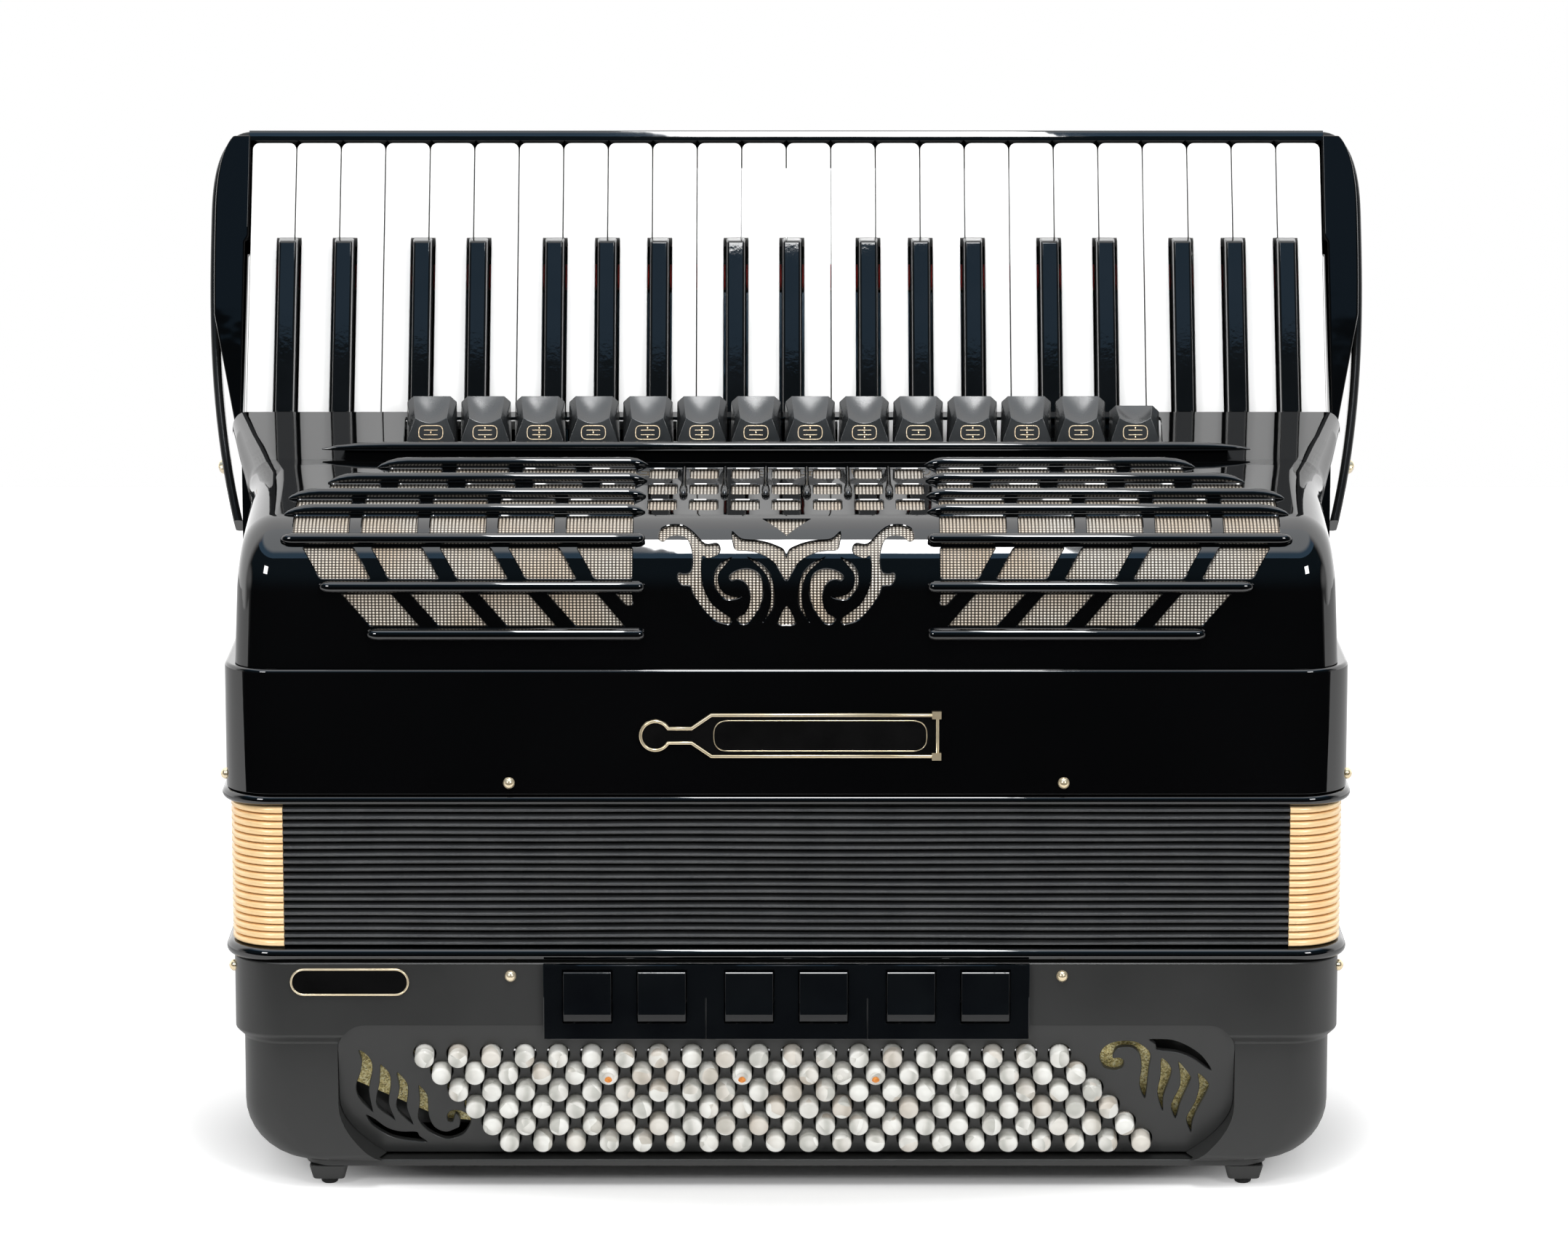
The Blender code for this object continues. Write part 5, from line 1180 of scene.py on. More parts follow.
# The scrolls are drawn as they are seen from the camera's height, in a unit of 0.12 mm
SCROLL_UNIT = 1 / (2.613 * 3.21)
SCROLL_MIDDLE = 740
SCROLL_LEVEL = 684
scrolls = [
    [(280, 370), (290, 335), (330, 320), (375, 325), (410, 350), (450, 390), (490, 388), (505, 405),
     (498, 430), (460, 445), (440, 440), (440, 520), (455, 570), (480, 610), (520, 640), (545, 660),
     (540, 680), (520, 680), (480, 665), (440, 625), (410, 580), (395, 545), (365, 540), (350, 515),
     (355, 495), (375, 498), (398, 490), (405, 450), (400, 410), (385, 375), (360, 362), (325, 365),
     (300, 385)],
    [(545, 345), (580, 372), (640, 378), (700, 395), (738, 425), (738, 525), (700, 465), (650, 430),
     (600, 418), (560, 415), (548, 390)],
    [(535, 515), (540, 500), (570, 483), (610, 480), (645, 500), (660, 550), (650, 610), (625, 655),
     (600, 680), (572, 678), (563, 655), (590, 640), (608, 600), (607, 560), (590, 530), (565, 520),
     (545, 525)],
    [(597, 437), (650, 462), (686, 505), (700, 570), (689, 632), (655, 675), (675, 630), (684, 570),
     (671, 514), (644, 478)],
    [(548, 439), (510, 457), (482, 498), (486, 552), (526, 594), (582, 582), (532, 574), (503, 546),
     (499, 504), (519, 474)],
]


def seen_height(length):
    place = cover_point(length)[0]
    return place.x * math.sin(pitch) + place.y * math.cos(pitch)


def length_seen_at(height):
    """Length along the section that is seen at a height above the front seam."""
    low, high = 0.0, crease
    for _ in range(40):
        middle = (low + high) / 2
        if seen_height(middle) < height:
            low = middle
        else:
            high = middle
    return (low + high) / 2


def drawn(points, side=1):
    """Drawing units to places on the cover, for the left half of the scrolls or its mirror."""
    base = seen_height(16.6) + 1.9
    return [(side * (x - SCROLL_MIDDLE) * SCROLL_UNIT,
             length_seen_at(base + (SCROLL_LEVEL - y) * SCROLL_UNIT)) for x, y in points]


for shape in scrolls:
    for side in (1, -1):
        windows.append(drawn(flowing(shape, 4), side))
teardrop = [(742, 612), (720, 640), (708, 675), (720, 684), (740, 684), (762, 684), (775, 675),
            (762, 640)]
windows.append(drawn(flowing(teardrop, 4)))
notch = [(650, 300), (736, 358), (738, 362), (744, 362), (746, 358), (832, 300)]
windows.append(rounded(drawn(notch), 1.0))
slot_low, slot_high = (crease + (y - LEDGE_START) / math.cos(steep) for y in SWITCH_SLOT_Y)
windows.append(rounded(rectangle(SWITCH_SHIFT - SWITCH_SLOT_HALF, slot_low,
                                 SWITCH_SHIFT + SWITCH_SLOT_HALF, slot_high), 1))

section = [0, 8, 16, 24.5, COVER_FRONT_HEIGHT]
section += [COVER_FRONT_HEIGHT + brow_length * i / 24 for i in range(1, 25)]
section += [crease - slope_length * (1 - i / 5) for i in range(1, 5)]
section += [crease - 5, crease - 2.5, crease, crease + 2.5, crease + 5]
section += [crease + ledge_length * i / 4 for i in range(1, 5)]
bm = bmesh.new()
outline = rectangle(-FLAT_HALF, 0, FLAT_HALF, section[-1])
creases = [((-FLAT_HALF, level), (FLAT_HALF, level)) for level in section[1:-1]]
corner_normals = add_pierced_sheet(
    bm, outline, windows, creases, on_cover, PIERCED_THICKNESS, 0.35,
    open_edge=lambda u: abs(u) > FLAT_HALF - 0.01)
sheet_faces = len(corner_normals)


def shoulder_rows(side):
    """Rows of points from the flat middle round the shoulder and down the cover's end."""
    places = []
    for level in section:
        place, normal = cover_point(level)
        inward = -normal
        if level > crease - 0.001:
            inward = Vector((0, -1 / math.cos(steep)))
        places.append((place, inward))
    rows = [[Vector((side * FLAT_HALF, place.x, place.y)) for place, inward in places]]
    for step in range(13):
        angle = math.radians(90 * step / 12)
        row = []
        for place, inward in places:
            half = cover_half(place.x, place.y)
            radius = SIDE_RADIUS + (EAR_RADIUS - SIDE_RADIUS) * ear_share(place.x)
            x = half - radius * (1 - math.sin(angle))
            moved = place + inward * radius * (1 - math.cos(angle))
            row.append(Vector((side * x, moved.x, moved.y)))
        rows.append(row)
    foot = Vector((COVER_BACK, cover_bottom))
    last = rows[-1]
    for share in (0.2, 0.4, 0.6, 0.8, 1.0):
        row = []
        for point in last:
            y, z = Vector((point.y, point.z)).lerp(foot, share)
            half = cover_half(y, z)
            row.append(Vector((side * half, y, z)))
        rows.append(row)
    return rows


mirror_normals = {}
for side in (-1, 1):
    rows = shoulder_rows(side)
    made = [[bm.verts.new(point) for point in row] for row in rows]
    for step, row in enumerate(made[:14]):
        angle = math.radians(90 * max(step - 1, 0) / 12)
        for level, vert in zip(section, row):
            _, normal = cover_point(level)
            flat = Vector((side * math.sin(angle), normal.x * math.cos(angle),
                           normal.y * math.cos(angle)))
            mirror_normals[vert] = (flat, math.sin(angle) ** 3)
    for lower, upper in zip(made, made[1:]):
        for j in range(len(lower) - 1):
            quad = (lower[j], upper[j], upper[j + 1], lower[j + 1])
            if side < 0:
                quad = tuple(reversed(quad))
            bm.faces.new(quad)
    back = [row[-1] for row in made[:14]]
    sink = Vector((0, 0, -COVER_THICKNESS / math.cos(steep)))
    inner = [bm.verts.new(vert.co + sink) for vert in back]
    for i in range(len(back) - 1):
        quad = (back[i], back[i + 1], inner[i + 1], inner[i])
        if side < 0:
            quad = tuple(reversed(quad))
        bm.faces.new(quad)
bm.normal_update()
smooth_normals = []
bm.faces.ensure_lookup_table()
for face in bm.faces[sheet_faces:]:
    normals = []
    for vert in face.verts:
        flat, share = mirror_normals.get(vert, (vert.normal, 1.0))
        normals.append(flat.lerp(vert.normal, share).normalized())
    smooth_normals.append(normals)
cover = finish_piece("grille_cover_casting", bm, black_lacquer, orient=False)
set_normals(cover, corner_normals + smooth_normals)
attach(cover, "treble_body")
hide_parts("grille_cover")


# Slats, pins and lip of the cover. Round bars cast on the cover: seven across each half, six
# short pins in the middle, and a long lip along the foot of the ledge.
PIN_COLUMNS, PIN_DIAMETER, PIN_LENGTH = 6, 3.4, 41
LIP_HALF, LIP_DIAMETER, LIP_UP, LIP_OUT = 204, 4.4, 5.5, 2.0
# Share of a tip's length, and share of the full radius there; the upper slats also droop
OUTER_TIP = ((0.0, 0.12, 1.0), (0.12, 0.38, 0.72), (0.35, 0.68, 0.36), (0.65, 0.9, 0.1),
             (1.0, 1.0, 0.0))
INNER_TIP = ((1.0, 1.0), (0.6, 0.85), (0.25, 0.5), (0.0, 0.15))
FIRST_POINTED, TIP_DROOP = 3, 3.0
PIN_SHAPE = ((0.0, 0.1), (0.02, 0.55), (0.06, 0.9), (0.12, 1.0), (0.2, 0.92), (0.32, 0.66),
             (0.5, 0.5), (0.85, 0.5), (0.95, 0.45), (1.0, 0.2))
LIP_END = ((0, 0.15), (6, 0.5), (16, 0.85), (30, 1.0))


def add_tube(bm, points, radii, sides=16):
    """Round bar through the points, with a radius at each; both ends are closed."""
    rings = []
    last = len(points) - 1
    for i, point in enumerate(points):
        along = Vector(points[min(i + 1, last)]) - Vector(points[max(i - 1, 0)])
        turn = along.to_track_quat("Z", "Y").to_matrix()
        rings.append([Vector(point) + turn @ Vector((*spot, 0))
                      for spot in circle(0, 0, radii[i], sides)])
    add_loft(bm, rings)


def blunt(share):
    """Radius of a round-ended tip, as a share of the full one."""
    return math.sqrt(max(0.02, 1 - (1 - share) ** 2))


bm = bmesh.new()
for index, far in enumerate(SLAT_OUTER_ENDS):
    pointed = index >= FIRST_POINTED
    outer_tip, inner_tip = (13.0, 8.0) if pointed else (5.0, 2.5)
    stations = [(far - outer_tip * share, radius if pointed else blunt(share),
                 droop * TIP_DROOP if pointed else 0.0) for share, radius, droop in OUTER_TIP]
    stations += [(SLAT_INNER + inner_tip * share, radius if pointed else blunt(share), 0.0)
                 for share, radius in INNER_TIP]
    for side in (-1, 1):
        points = []
        for x, radius, droop in stations:
            place, normal = cover_point(slat_length(index) - droop)
            centre = place + normal * (SLAT_WIDTH * 0.28 * radius)
            points.append((side * x, centre.x, centre.y))
        add_tube(bm, points, [SLAT_WIDTH / 2 * radius for x, radius, droop in stations])
slats = finish_piece("grille_slats", bm, black_lacquer, 60)
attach(slats, "treble_body")
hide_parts("grille_cover")

bm = bmesh.new()
top = slat_length(len(SLAT_OUTER_ENDS) - 1)
for column in range(PIN_COLUMNS):
    x = (column - (PIN_COLUMNS - 1) / 2) * GRID_PITCH
    points = []
    for share, radius in PIN_SHAPE:
        place, normal = cover_point(top - PIN_LENGTH * (1 - share))
        lift = place + normal * (PIN_DIAMETER * 0.3 * radius)
        points.append((x, lift.x, lift.y))
    add_tube(bm, points, [PIN_DIAMETER / 2 * radius * 1.1 for share, radius in PIN_SHAPE])
place, normal = cover_point(crease + LIP_UP)
place = place + normal * LIP_OUT
stations = [(-LIP_HALF + along, radius) for along, radius in LIP_END] + [(0, 1.0)]
stations += [(LIP_HALF - along, radius) for along, radius in reversed(LIP_END)]
points = []
for x, radius in stations:
    sink = normal * (LIP_DIAMETER / 2 * (1 - radius) * 0.6)
    points.append((x, place.x - sink.x, place.y - sink.y))
add_tube(bm, points, [LIP_DIAMETER / 2 * radius for x, radius in stations])
pins = finish_piece("grille_pins_and_lip", bm, black_lacquer, 60)
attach(pins, "treble_body")
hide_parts("grille_cover")


# Grille cloth. A woven sheet of champagne metal thread behind the windows, with painted highlights where
# its threads cross, painted shade between them for the dark seen through the weave, and a little browner in
# places.
MESH_HALF, MESH_THICKNESS, MESH_EDGE = 216, 0.8, 8
MESH_BEHIND = PIERCED_THICKNESS + 0.3
THREAD_X, THREAD_S = 1.53, 1.25

weave, start, end = new_group(
    "woven_threads",
    [("Across", "Float", 1.5), ("Along", "Float", 1.25)],
    [("Crossing", "Float")])
place_on = add_node(weave, "UVMap", uv_map="sheet")
parts = add_node(weave, "SeparateXYZ", {0: place_on.outputs[0]})
waves = []
for axis, label in (("X", "Across"), ("Y", "Along")):
    turns = add_math(weave, "DIVIDE", parts.outputs[axis], start.outputs[label])
    swing = add_math(weave, "COSINE", add_math(weave, "MULTIPLY", turns, 2 * math.pi))
    waves.append(add_node(weave, "MapRange", {0: swing, 1: -1.0, 2: 1.0}).outputs[0])
feed(weave, end, {"Crossing": add_math(weave, "MULTIPLY", *waves)})

grille_cloth, tree, shader = new_material("champagne_weave", 0.32, metallic=0.25)
threads = add_group(tree, weave, {"Across": THREAD_X, "Along": THREAD_S})
# Painted light: the thread crossings are painted bright as glints, and the gaps between threads painted dark
# as the shade seen through the weave.
metal = colour_ramp(tree, threads.outputs["Crossing"], (0.04, (0.05, 0.042, 0.034, 1)),
                    (0.18, (0.36, 0.32, 0.27, 1)), (0.5, (1.0, 0.97, 0.90, 1)))
tint = add_group(tree, tone_drift, {
    "Scale": 28.0, "Colour": (1.0, 1.0, 1.0, 1), "Second Colour": (0.90, 0.78, 0.66, 1),
    "Low Roughness": 0.28, "High Roughness": 0.4})
relief = add_node(tree, "Bump", {
    "Strength": 0.8, "Distance": 0.0004, "Height": threads.outputs["Crossing"]})
feed(tree, shader, {
    "Base Color": mix_colours(tree, 1.0, metal, tint.outputs["Colour"], "MULTIPLY"),
    "Roughness": tint.outputs["Roughness"], "Normal": relief.outputs[0]})

bm = bmesh.new()
sheet_uv = bm.loops.layers.uv.new("sheet")
lengths = [MESH_EDGE, COVER_FRONT_HEIGHT]
lengths += [COVER_FRONT_HEIGHT + brow_length * i / 16 for i in range(1, 17)]
lengths.append(crease - MESH_EDGE)
outer_rows = []
inner_rows = []
for length in lengths:
    place, normal = cover_point(length)
    for rows, depth in ((outer_rows, MESH_BEHIND), (inner_rows, MESH_BEHIND + MESH_THICKNESS)):
        spot = place - normal * depth
        rows.append([bm.verts.new((x, spot.x, spot.y)) for x in (-MESH_HALF, MESH_HALF)])


def add_face(bm, verts, flip):
    return bm.faces.new(verts[::-1] if flip else verts)


for i in range(len(lengths) - 1):
    for rows, flip in ((outer_rows, False), (inner_rows, True)):
        face = add_face(bm, rows[i] + rows[i + 1][::-1], flip)
        spots = rectangle(-MESH_HALF, lengths[i], MESH_HALF, lengths[i + 1])
        for loop, spot in zip(face.loops, spots[::-1] if flip else spots):
            loop[sheet_uv].uv = spot
    for k, flip in ((0, True), (1, False)):
        add_face(bm, [outer_rows[i][k], inner_rows[i][k], inner_rows[i + 1][k],
                      outer_rows[i + 1][k]], flip)
for i, flip in ((0, False), (-1, True)):
    add_face(bm, outer_rows[i][::-1] + inner_rows[i], flip)
grille_sheet = finish_piece("grille_cloth_sheet", bm, grille_cloth, 40, orient=False)
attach(grille_sheet, "treble_body")
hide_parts("grille_mesh")


# Keyboard frame. Glossy black wood: bed, front rail, back wall and end cheeks; outside the
# cheeks stand two bowed wings in satin black, each with a gold lug for the shoulder strap.
KEY_TILT, KEYS, KEY_PITCH, KEY_LENGTH = 27, 24, 20, 129
KEYS_HALF = KEYS * KEY_PITCH / 2
BED_BELOW, BED_THICKNESS, RAIL_GAP, RAIL_WIDTH, RAIL_BELOW = 20, 6, 1.6, 5.4, 1.5
CHEEK_CLEARANCE, CHEEK_LAP, BACK_WALL, SIDE_PLATE, KEY_TAIL = 0.8, 0.8, 5, 4.6, 38
WING_THICKNESS, WING_FRONT, WING_DEPTH, WING_BULGE, WING_CORNER, WING_FOOT = 4, 11, 16, 18.7, 42, 45
WING_FOOT_BULGE, WING_OVER, WING_STEPS = 5.4, 3.0, 18
CHEEK_FOOT, CHEEK_SPLIT, CHEEK_BELOW = 5, 47, 1
TAIL_START, BACK_STRAIGHT, BACK_JOIN = 2.5, 24, 58
BLACK_RISE, KEY_COVER_CLEARANCE = 8, 1.3
KEY_HEAD_LENGTH = 45.2
KEY_SHOULDER = KEY_LENGTH - KEY_HEAD_LENGTH

tilt = math.radians(KEY_TILT)
keys_origin = Vector((COVER_BACK + (BLACK_RISE + KEY_COVER_CLEARANCE) / math.cos(tilt),
                      cover_point(section[-1])[0].y - COVER_THICKNESS / math.cos(steep)))
keyboard = Matrix((
    (1, 0, 0, 0),
    (0, math.sin(tilt), -math.cos(tilt), keys_origin.x),
    (0, math.cos(tilt), math.sin(tilt), keys_origin.y),
    (0, 0, 0, 1)))


def in_section(along, out):
    point = keyboard @ Vector((0, along, out))
    return (point.y, point.z)


def back_curve(offset):
    """Back wall (y, z) from the case up to the bed, moved inwards by an offset."""
    start = Vector((-FRONT, cover_bottom))
    bend = start + Vector((0, BACK_STRAIGHT))
    join = Vector(in_section(BACK_JOIN - offset, -BED_BELOW - BED_THICKNESS))
    pull = bend + Vector((0, (join.y - bend.y) * 0.45))
    points = [start - Vector((offset, 0))]
    for step in range(15):
        t = step / 14
        point = bend * (1 - t) ** 2 + pull * 2 * t * (1 - t) + join * t ** 2
        points.append(point - Vector((offset * (1 - t), 0)))
    return [tuple(point) for point in points]


def wing_bulge(along, top, bulge, low):
    """How far the wing stands out: a long swell from its foot, then a round top corner."""
    crown = top - WING_CORNER
    if along < crown:
        share = (along + WING_FOOT) / (crown + WING_FOOT)
        return low + (bulge - low) * (1 - (1 - share) ** 2.6)
    share = min((along - crown) / WING_CORNER, 1.0)
    return bulge * (1 - share ** 2.6) ** (1 / 2.6)


def wing_edge(thickness):
    """Points (x, along) of the wing's outline, moved in by a thickness."""
    top = KEY_LENGTH + RAIL_GAP + RAIL_WIDTH + WING_OVER - thickness
    bulge = WING_BULGE - thickness
    low = WING_FOOT_BULGE - thickness
    crown = top - WING_CORNER
    levels = [-WING_FOOT + (crown + WING_FOOT) * step / WING_STEPS for step in range(WING_STEPS)]
    levels += [crown + WING_CORNER * math.sin(math.radians(90 * step / WING_STEPS))
               for step in range(WING_STEPS + 1)]
    return [(KEYS_HALF + wing_bulge(along, top, bulge, low), along) for along in levels]


rail = KEY_LENGTH + RAIL_GAP
body_half = KEYS_HALF + CHEEK_CLEARANCE + CHEEK_LAP
bed_back = -BED_BELOW - BED_THICKNESS
outline = back_curve(0.0) + [in_section(along, out) for along, out in (
    (rail + RAIL_WIDTH, bed_back), (rail + RAIL_WIDTH, -RAIL_BELOW - 1.2),
    (rail + RAIL_WIDTH - 0.4, -RAIL_BELOW - 0.35), (rail + RAIL_WIDTH - 1.3, -RAIL_BELOW),
    (rail + 0.9, -RAIL_BELOW), (rail + 0.2, -RAIL_BELOW - 0.3), (rail, -RAIL_BELOW - 1.0),
    (rail, -BED_BELOW), (-KEY_TAIL, -BED_BELOW), (-KEY_TAIL, bed_back))]
outline += back_curve(BACK_WALL)[::-1]
bm = bmesh.new()
add_prism(bm, outline, 2 * body_half, side_plane(-body_half))
under_keys = in_section(-TAIL_START - 1.5, -1)
front_y = COVER_BACK + 0.6
plate = [(front_y, cover_bottom), (-FRONT - 1, cover_bottom)]
plate += [(y - 1, z) for y, z in back_curve(0.0)[1:]]
plate += [in_section(BACK_JOIN, -BED_BELOW - 1), in_section(-TAIL_START - 1.5, -BED_BELOW - 1),
          under_keys, (front_y, under_keys[1] - (under_keys[0] - front_y) / math.tan(tilt))]
for x in (-body_half + 0.3, body_half - 0.3 - SIDE_PLATE):
    add_prism(bm, plate, SIDE_PLATE, side_plane(x))
bed = finish_piece("keyboard_bed_and_rail", bm, black_lacquer, 35)
settle_shading(bed, 35)
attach(bed, "treble_body")
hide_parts("keyboard_frame")

cheek_lacquer = finish_coat("cheek_lacquer", *LACQUER, specular=0.2)
inner_x = KEYS_HALF + CHEEK_CLEARANCE
cheek = [(inner_x + 1.6, -TAIL_START), (KEYS_HALF + CHEEK_FOOT, -TAIL_START)]
cheek += [(x - 0.6, y) for x, y in wing_edge(WING_THICKNESS / 2)
          if CHEEK_SPLIT < y < rail + RAIL_WIDTH / 2]
cheek += [(inner_x, rail + RAIL_WIDTH / 2), (inner_x, KEY_SHOULDER + 6), (inner_x, KEY_SHOULDER + 1.5),
          (inner_x + 1.6, KEY_SHOULDER - 1.5)]
bm = bmesh.new()
lowest = -BED_BELOW - 3
matrix = keyboard @ Matrix.Translation((0, 0, lowest))
add_prism(bm, cheek, -CHEEK_BELOW - lowest, matrix)
add_prism(bm, [(-x, y) for x, y in reversed(cheek)], -CHEEK_BELOW - lowest, matrix)
cheeks = finish_piece("keyboard_cheeks", bm, cheek_lacquer, 30, 0.9, 3)
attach(cheeks, "treble_body")
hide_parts("keyboard_frame")

wing_satin = finish_coat(
    "wing_satin", (0.010, 0.0105, 0.011), (0.015, 0.0155, 0.016), (0.16, 0.24), 30, (900, 0.1, 0.0002),
    specular=0.3)
outer_line = wing_edge(0.0)
inner_line = wing_edge(WING_THICKNESS)
profile = [(0.0, 1.4), (0.12, 0.5), (0.35, 0.0), (0.65, 0.0), (0.88, 0.5), (1.0, 1.4)]
bm = bmesh.new()
for side in (-1, 1):
    rings = []
    for (xa, ya), (xb, yb) in zip(outer_line, inner_line):
        spots = [(share, -WING_FRONT - sink) for share, sink in profile]
        spots += [(share, -WING_FRONT - WING_DEPTH + sink) for share, sink in reversed(profile)]
        rings.append([keyboard @ Vector((side * (xa + (xb - xa) * share),
                                         ya + (yb - ya) * share, out)) for share, out in spots])
    add_loft(bm, rings)
wings = finish_piece("keyboard_wings", bm, wing_satin, 50)
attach(wings, "treble_body")
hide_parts("keyboard_frame")

BRACKET_ALONG, BRACKET_ROOT, BRACKET_REACH = -23, 7.6, 10.5
bm = bmesh.new()
level = -WING_FRONT - (WING_DEPTH - 6) / 2
for side in (-1, 1):
    x = side * (KEYS_HALF + BRACKET_REACH)
    ends = sorted((side * (KEYS_HALF + BRACKET_ROOT), x))
    add_box(bm, (ends[0], BRACKET_ALONG + 2.5, level - 4.4),
            (ends[1], BRACKET_ALONG + 8.5, level - 1.6), keyboard)
    matrix = keyboard @ Matrix.Translation((x, BRACKET_ALONG + 5.5, level - 5.8))
    add_stud(bm, matrix, [(2.0, 0), (2.8, 0.5), (2.8, 5.0), (2.3, 5.6), (1.3, 5.8), (0.3, 5.9)], 20)
lugs = finish_piece("strap_lugs", bm, brass, 40, 0.3)
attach(lugs, "treble_body")
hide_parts("keyboard_frame")

FELT_LOW, FELT_HIGH, FELT_HEIGHT, FELT_MARGIN, FELT_STEPS = 66, 77, 4.5, 2, 60
felt = finish_coat(
    "red_felt", (0.65, 0.02, 0.02), (0.8, 0.04, 0.035), (0.9, 0.98), 200, (2200, 0.9, 0.0008))
feed(*shader_of(felt), {"Sheen Weight": 0.4})
bm = bmesh.new()
rings = []
for i in range(FELT_STEPS + 1):
    x = -KEYS_HALF + FELT_MARGIN + 2 * (KEYS_HALF - FELT_MARGIN) * i / FELT_STEPS
    swell = 0.25 * noise.noise(Vector((x * 0.08, 0, 0)))
    rings.append([keyboard @ Vector((x, along, -BED_BELOW + height)) for along, height in (
        (FELT_LOW, 0.05), (FELT_HIGH, 0.05), (FELT_HIGH, FELT_HEIGHT - 1 + swell),
        (FELT_HIGH - 1.5, FELT_HEIGHT + swell), (FELT_LOW + 1.5, FELT_HEIGHT + swell),
        (FELT_LOW, FELT_HEIGHT - 1 + swell))])
add_loft(bm, rings)
felt_strip = finish_piece("key_felt_strip", bm, felt, 40)
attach(felt_strip, "treble_body")

axle_steel = finish_coat(
    "ground_steel", (0.55, 0.55, 0.56), (0.68, 0.68, 0.68), (0.22, 0.32), 150,
    (2500, 0.2, 0.0001), metallic=1.0)
paint_node("key_axle", axle_steel)


# Keys. White acrylic keys with round front corners, and black keys with sloping sides and a
# sloping nose, every one on its own lever.
KEY_GAP, KEY_THICKNESS, KEY_CORNER, TAIL_WIDTH = 0.5, 12, 3, 6
BLACK_WIDTH, BLACK_TOP_WIDTH, BLACK_NOSE, BLACK_SLOT = 9.2, 7.6, 4, 11
PAIR_SPREAD, TRIPLE_SPREAD = 2.5, 3.4
BLACK_KEY_COUNTS = [2, 2, 3, 2, 3, 2, 3]
TAIL_LIMIT = 232.5

key_white = finish_coat(
    "white_acrylic", (0.90, 0.90, 0.895), (0.93, 0.93, 0.925), (0.10, 0.18), 30, (500, 0.04, 0.0002))
key_black = finish_coat(
    "black_acrylic", (0.0025, 0.0028, 0.003), (0.004, 0.0044, 0.005), (0.01, 0.025), 50, (420, 0.02, 0.0002))


def black_centres():
    centres = []
    boundary = 0
    for group in BLACK_KEY_COUNTS:
        for place in range(group):
            boundary += 1
            spread = PAIR_SPREAD if group == 2 else TRIPLE_SPREAD
            shift = (2 * place / (group - 1) - 1) * spread
            centres.append((boundary, (boundary - KEYS / 2) * KEY_PITCH + shift))
        boundary += 1
    return centres


blacks = dict(black_centres())
for index in range(KEYS):
    left = (index - KEYS / 2) * KEY_PITCH + KEY_GAP / 2
    right = left + KEY_PITCH - KEY_GAP
    stem_left = blacks[index] + BLACK_SLOT / 2 if index in blacks else left
    stem_right = blacks[index + 1] - BLACK_SLOT / 2 if index + 1 in blacks else right
    middle = max(-TAIL_LIMIT, min(TAIL_LIMIT, (stem_left + stem_right) / 2))
    outline = [(middle - TAIL_WIDTH / 2, -KEY_TAIL), (middle + TAIL_WIDTH / 2, -KEY_TAIL),
               (middle + TAIL_WIDTH / 2, -TAIL_START), (stem_right, -TAIL_START)]
    if stem_right < right:
        outline += [(stem_right, KEY_SHOULDER), (right, KEY_SHOULDER)]
    for centre_x, start in ((right - KEY_CORNER, 0), (left + KEY_CORNER, 90)):
        outline += arc(centre_x, KEY_LENGTH - KEY_CORNER, KEY_CORNER, start, 90, 6)
    if stem_left > left:
        outline += [(left, KEY_SHOULDER), (stem_left, KEY_SHOULDER)]
    outline += [(stem_left, -TAIL_START), (middle - TAIL_WIDTH / 2, -TAIL_START)]
    bm = bmesh.new()
    add_prism(bm, outline, KEY_THICKNESS, keyboard @ Matrix.Translation((0, 0, -KEY_THICKNESS)))
    key = finish_piece(f"white_key_top_{index + 1:02d}", bm, key_white, 30, 0.45, 3)
    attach(key, f"white_key_{index + 1:02d}_lever")
    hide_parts(f"white_key_{index + 1:02d}")

for number, x in enumerate(blacks.values()):
    front = KEY_SHOULDER - KEY_GAP
    rings = []
    for height, width, nose in ((-KEY_THICKNESS, BLACK_WIDTH, 0), (0.5, BLACK_WIDTH, 0),
                                (3, BLACK_WIDTH - 0.45, 0.7),
                                (BLACK_RISE, BLACK_TOP_WIDTH, BLACK_NOSE)):
        rings.append([keyboard @ Vector((*corner, height)) for corner in
                      rectangle(x - width / 2, -1, x + width / 2, front - nose)])
    bm = bmesh.new()
    add_loft(bm, rings)
    add_box(bm, (x - TAIL_WIDTH / 2, -KEY_TAIL, -KEY_THICKNESS + 1),
            (x + TAIL_WIDTH / 2, 0, -1), keyboard)
    key = finish_piece(f"black_key_top_{number + 1:02d}", bm, key_black, 20, 0.9, 4)
    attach(key, f"black_key_{number + 1:02d}_lever")
    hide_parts(f"black_key_{number + 1:02d}")


# Treble register switches. Fourteen glossy black blocks on the ledge, each hollowed on top
# for a finger, with a satin front that carries a gold outline and plain marks.
SWITCHES, SWITCH_PITCH, SWITCH_FRONT_Y, SWITCH_BACK_Y = 14, 23.85, 2.2, 16.4
FACET_HALVES, BACK_HALVES, FACET_LEAN, FACET_RISE = (10.65, 6.95), (11.3, 8.15), 3.0, 9.6
FACET_DIP, DISH_SAG, SWITCH_RISE, PRESSED_DROP = 0.24, 1.3, 17.6, 4.2
SWITCH_FOOT, SWITCH_SUNK = 1.8, 7
SYMBOL_HALF_X, SYMBOL_HALF_Z, SYMBOL_LEVEL = 5.3, 2.9, 0.34
DISH_COLUMNS, DISH_ROWS = 16, 8


def ledge_height(y):
    return brow_top.y + slope_length * math.sin(slope) + (y - LEDGE_START) * math.tan(steep)


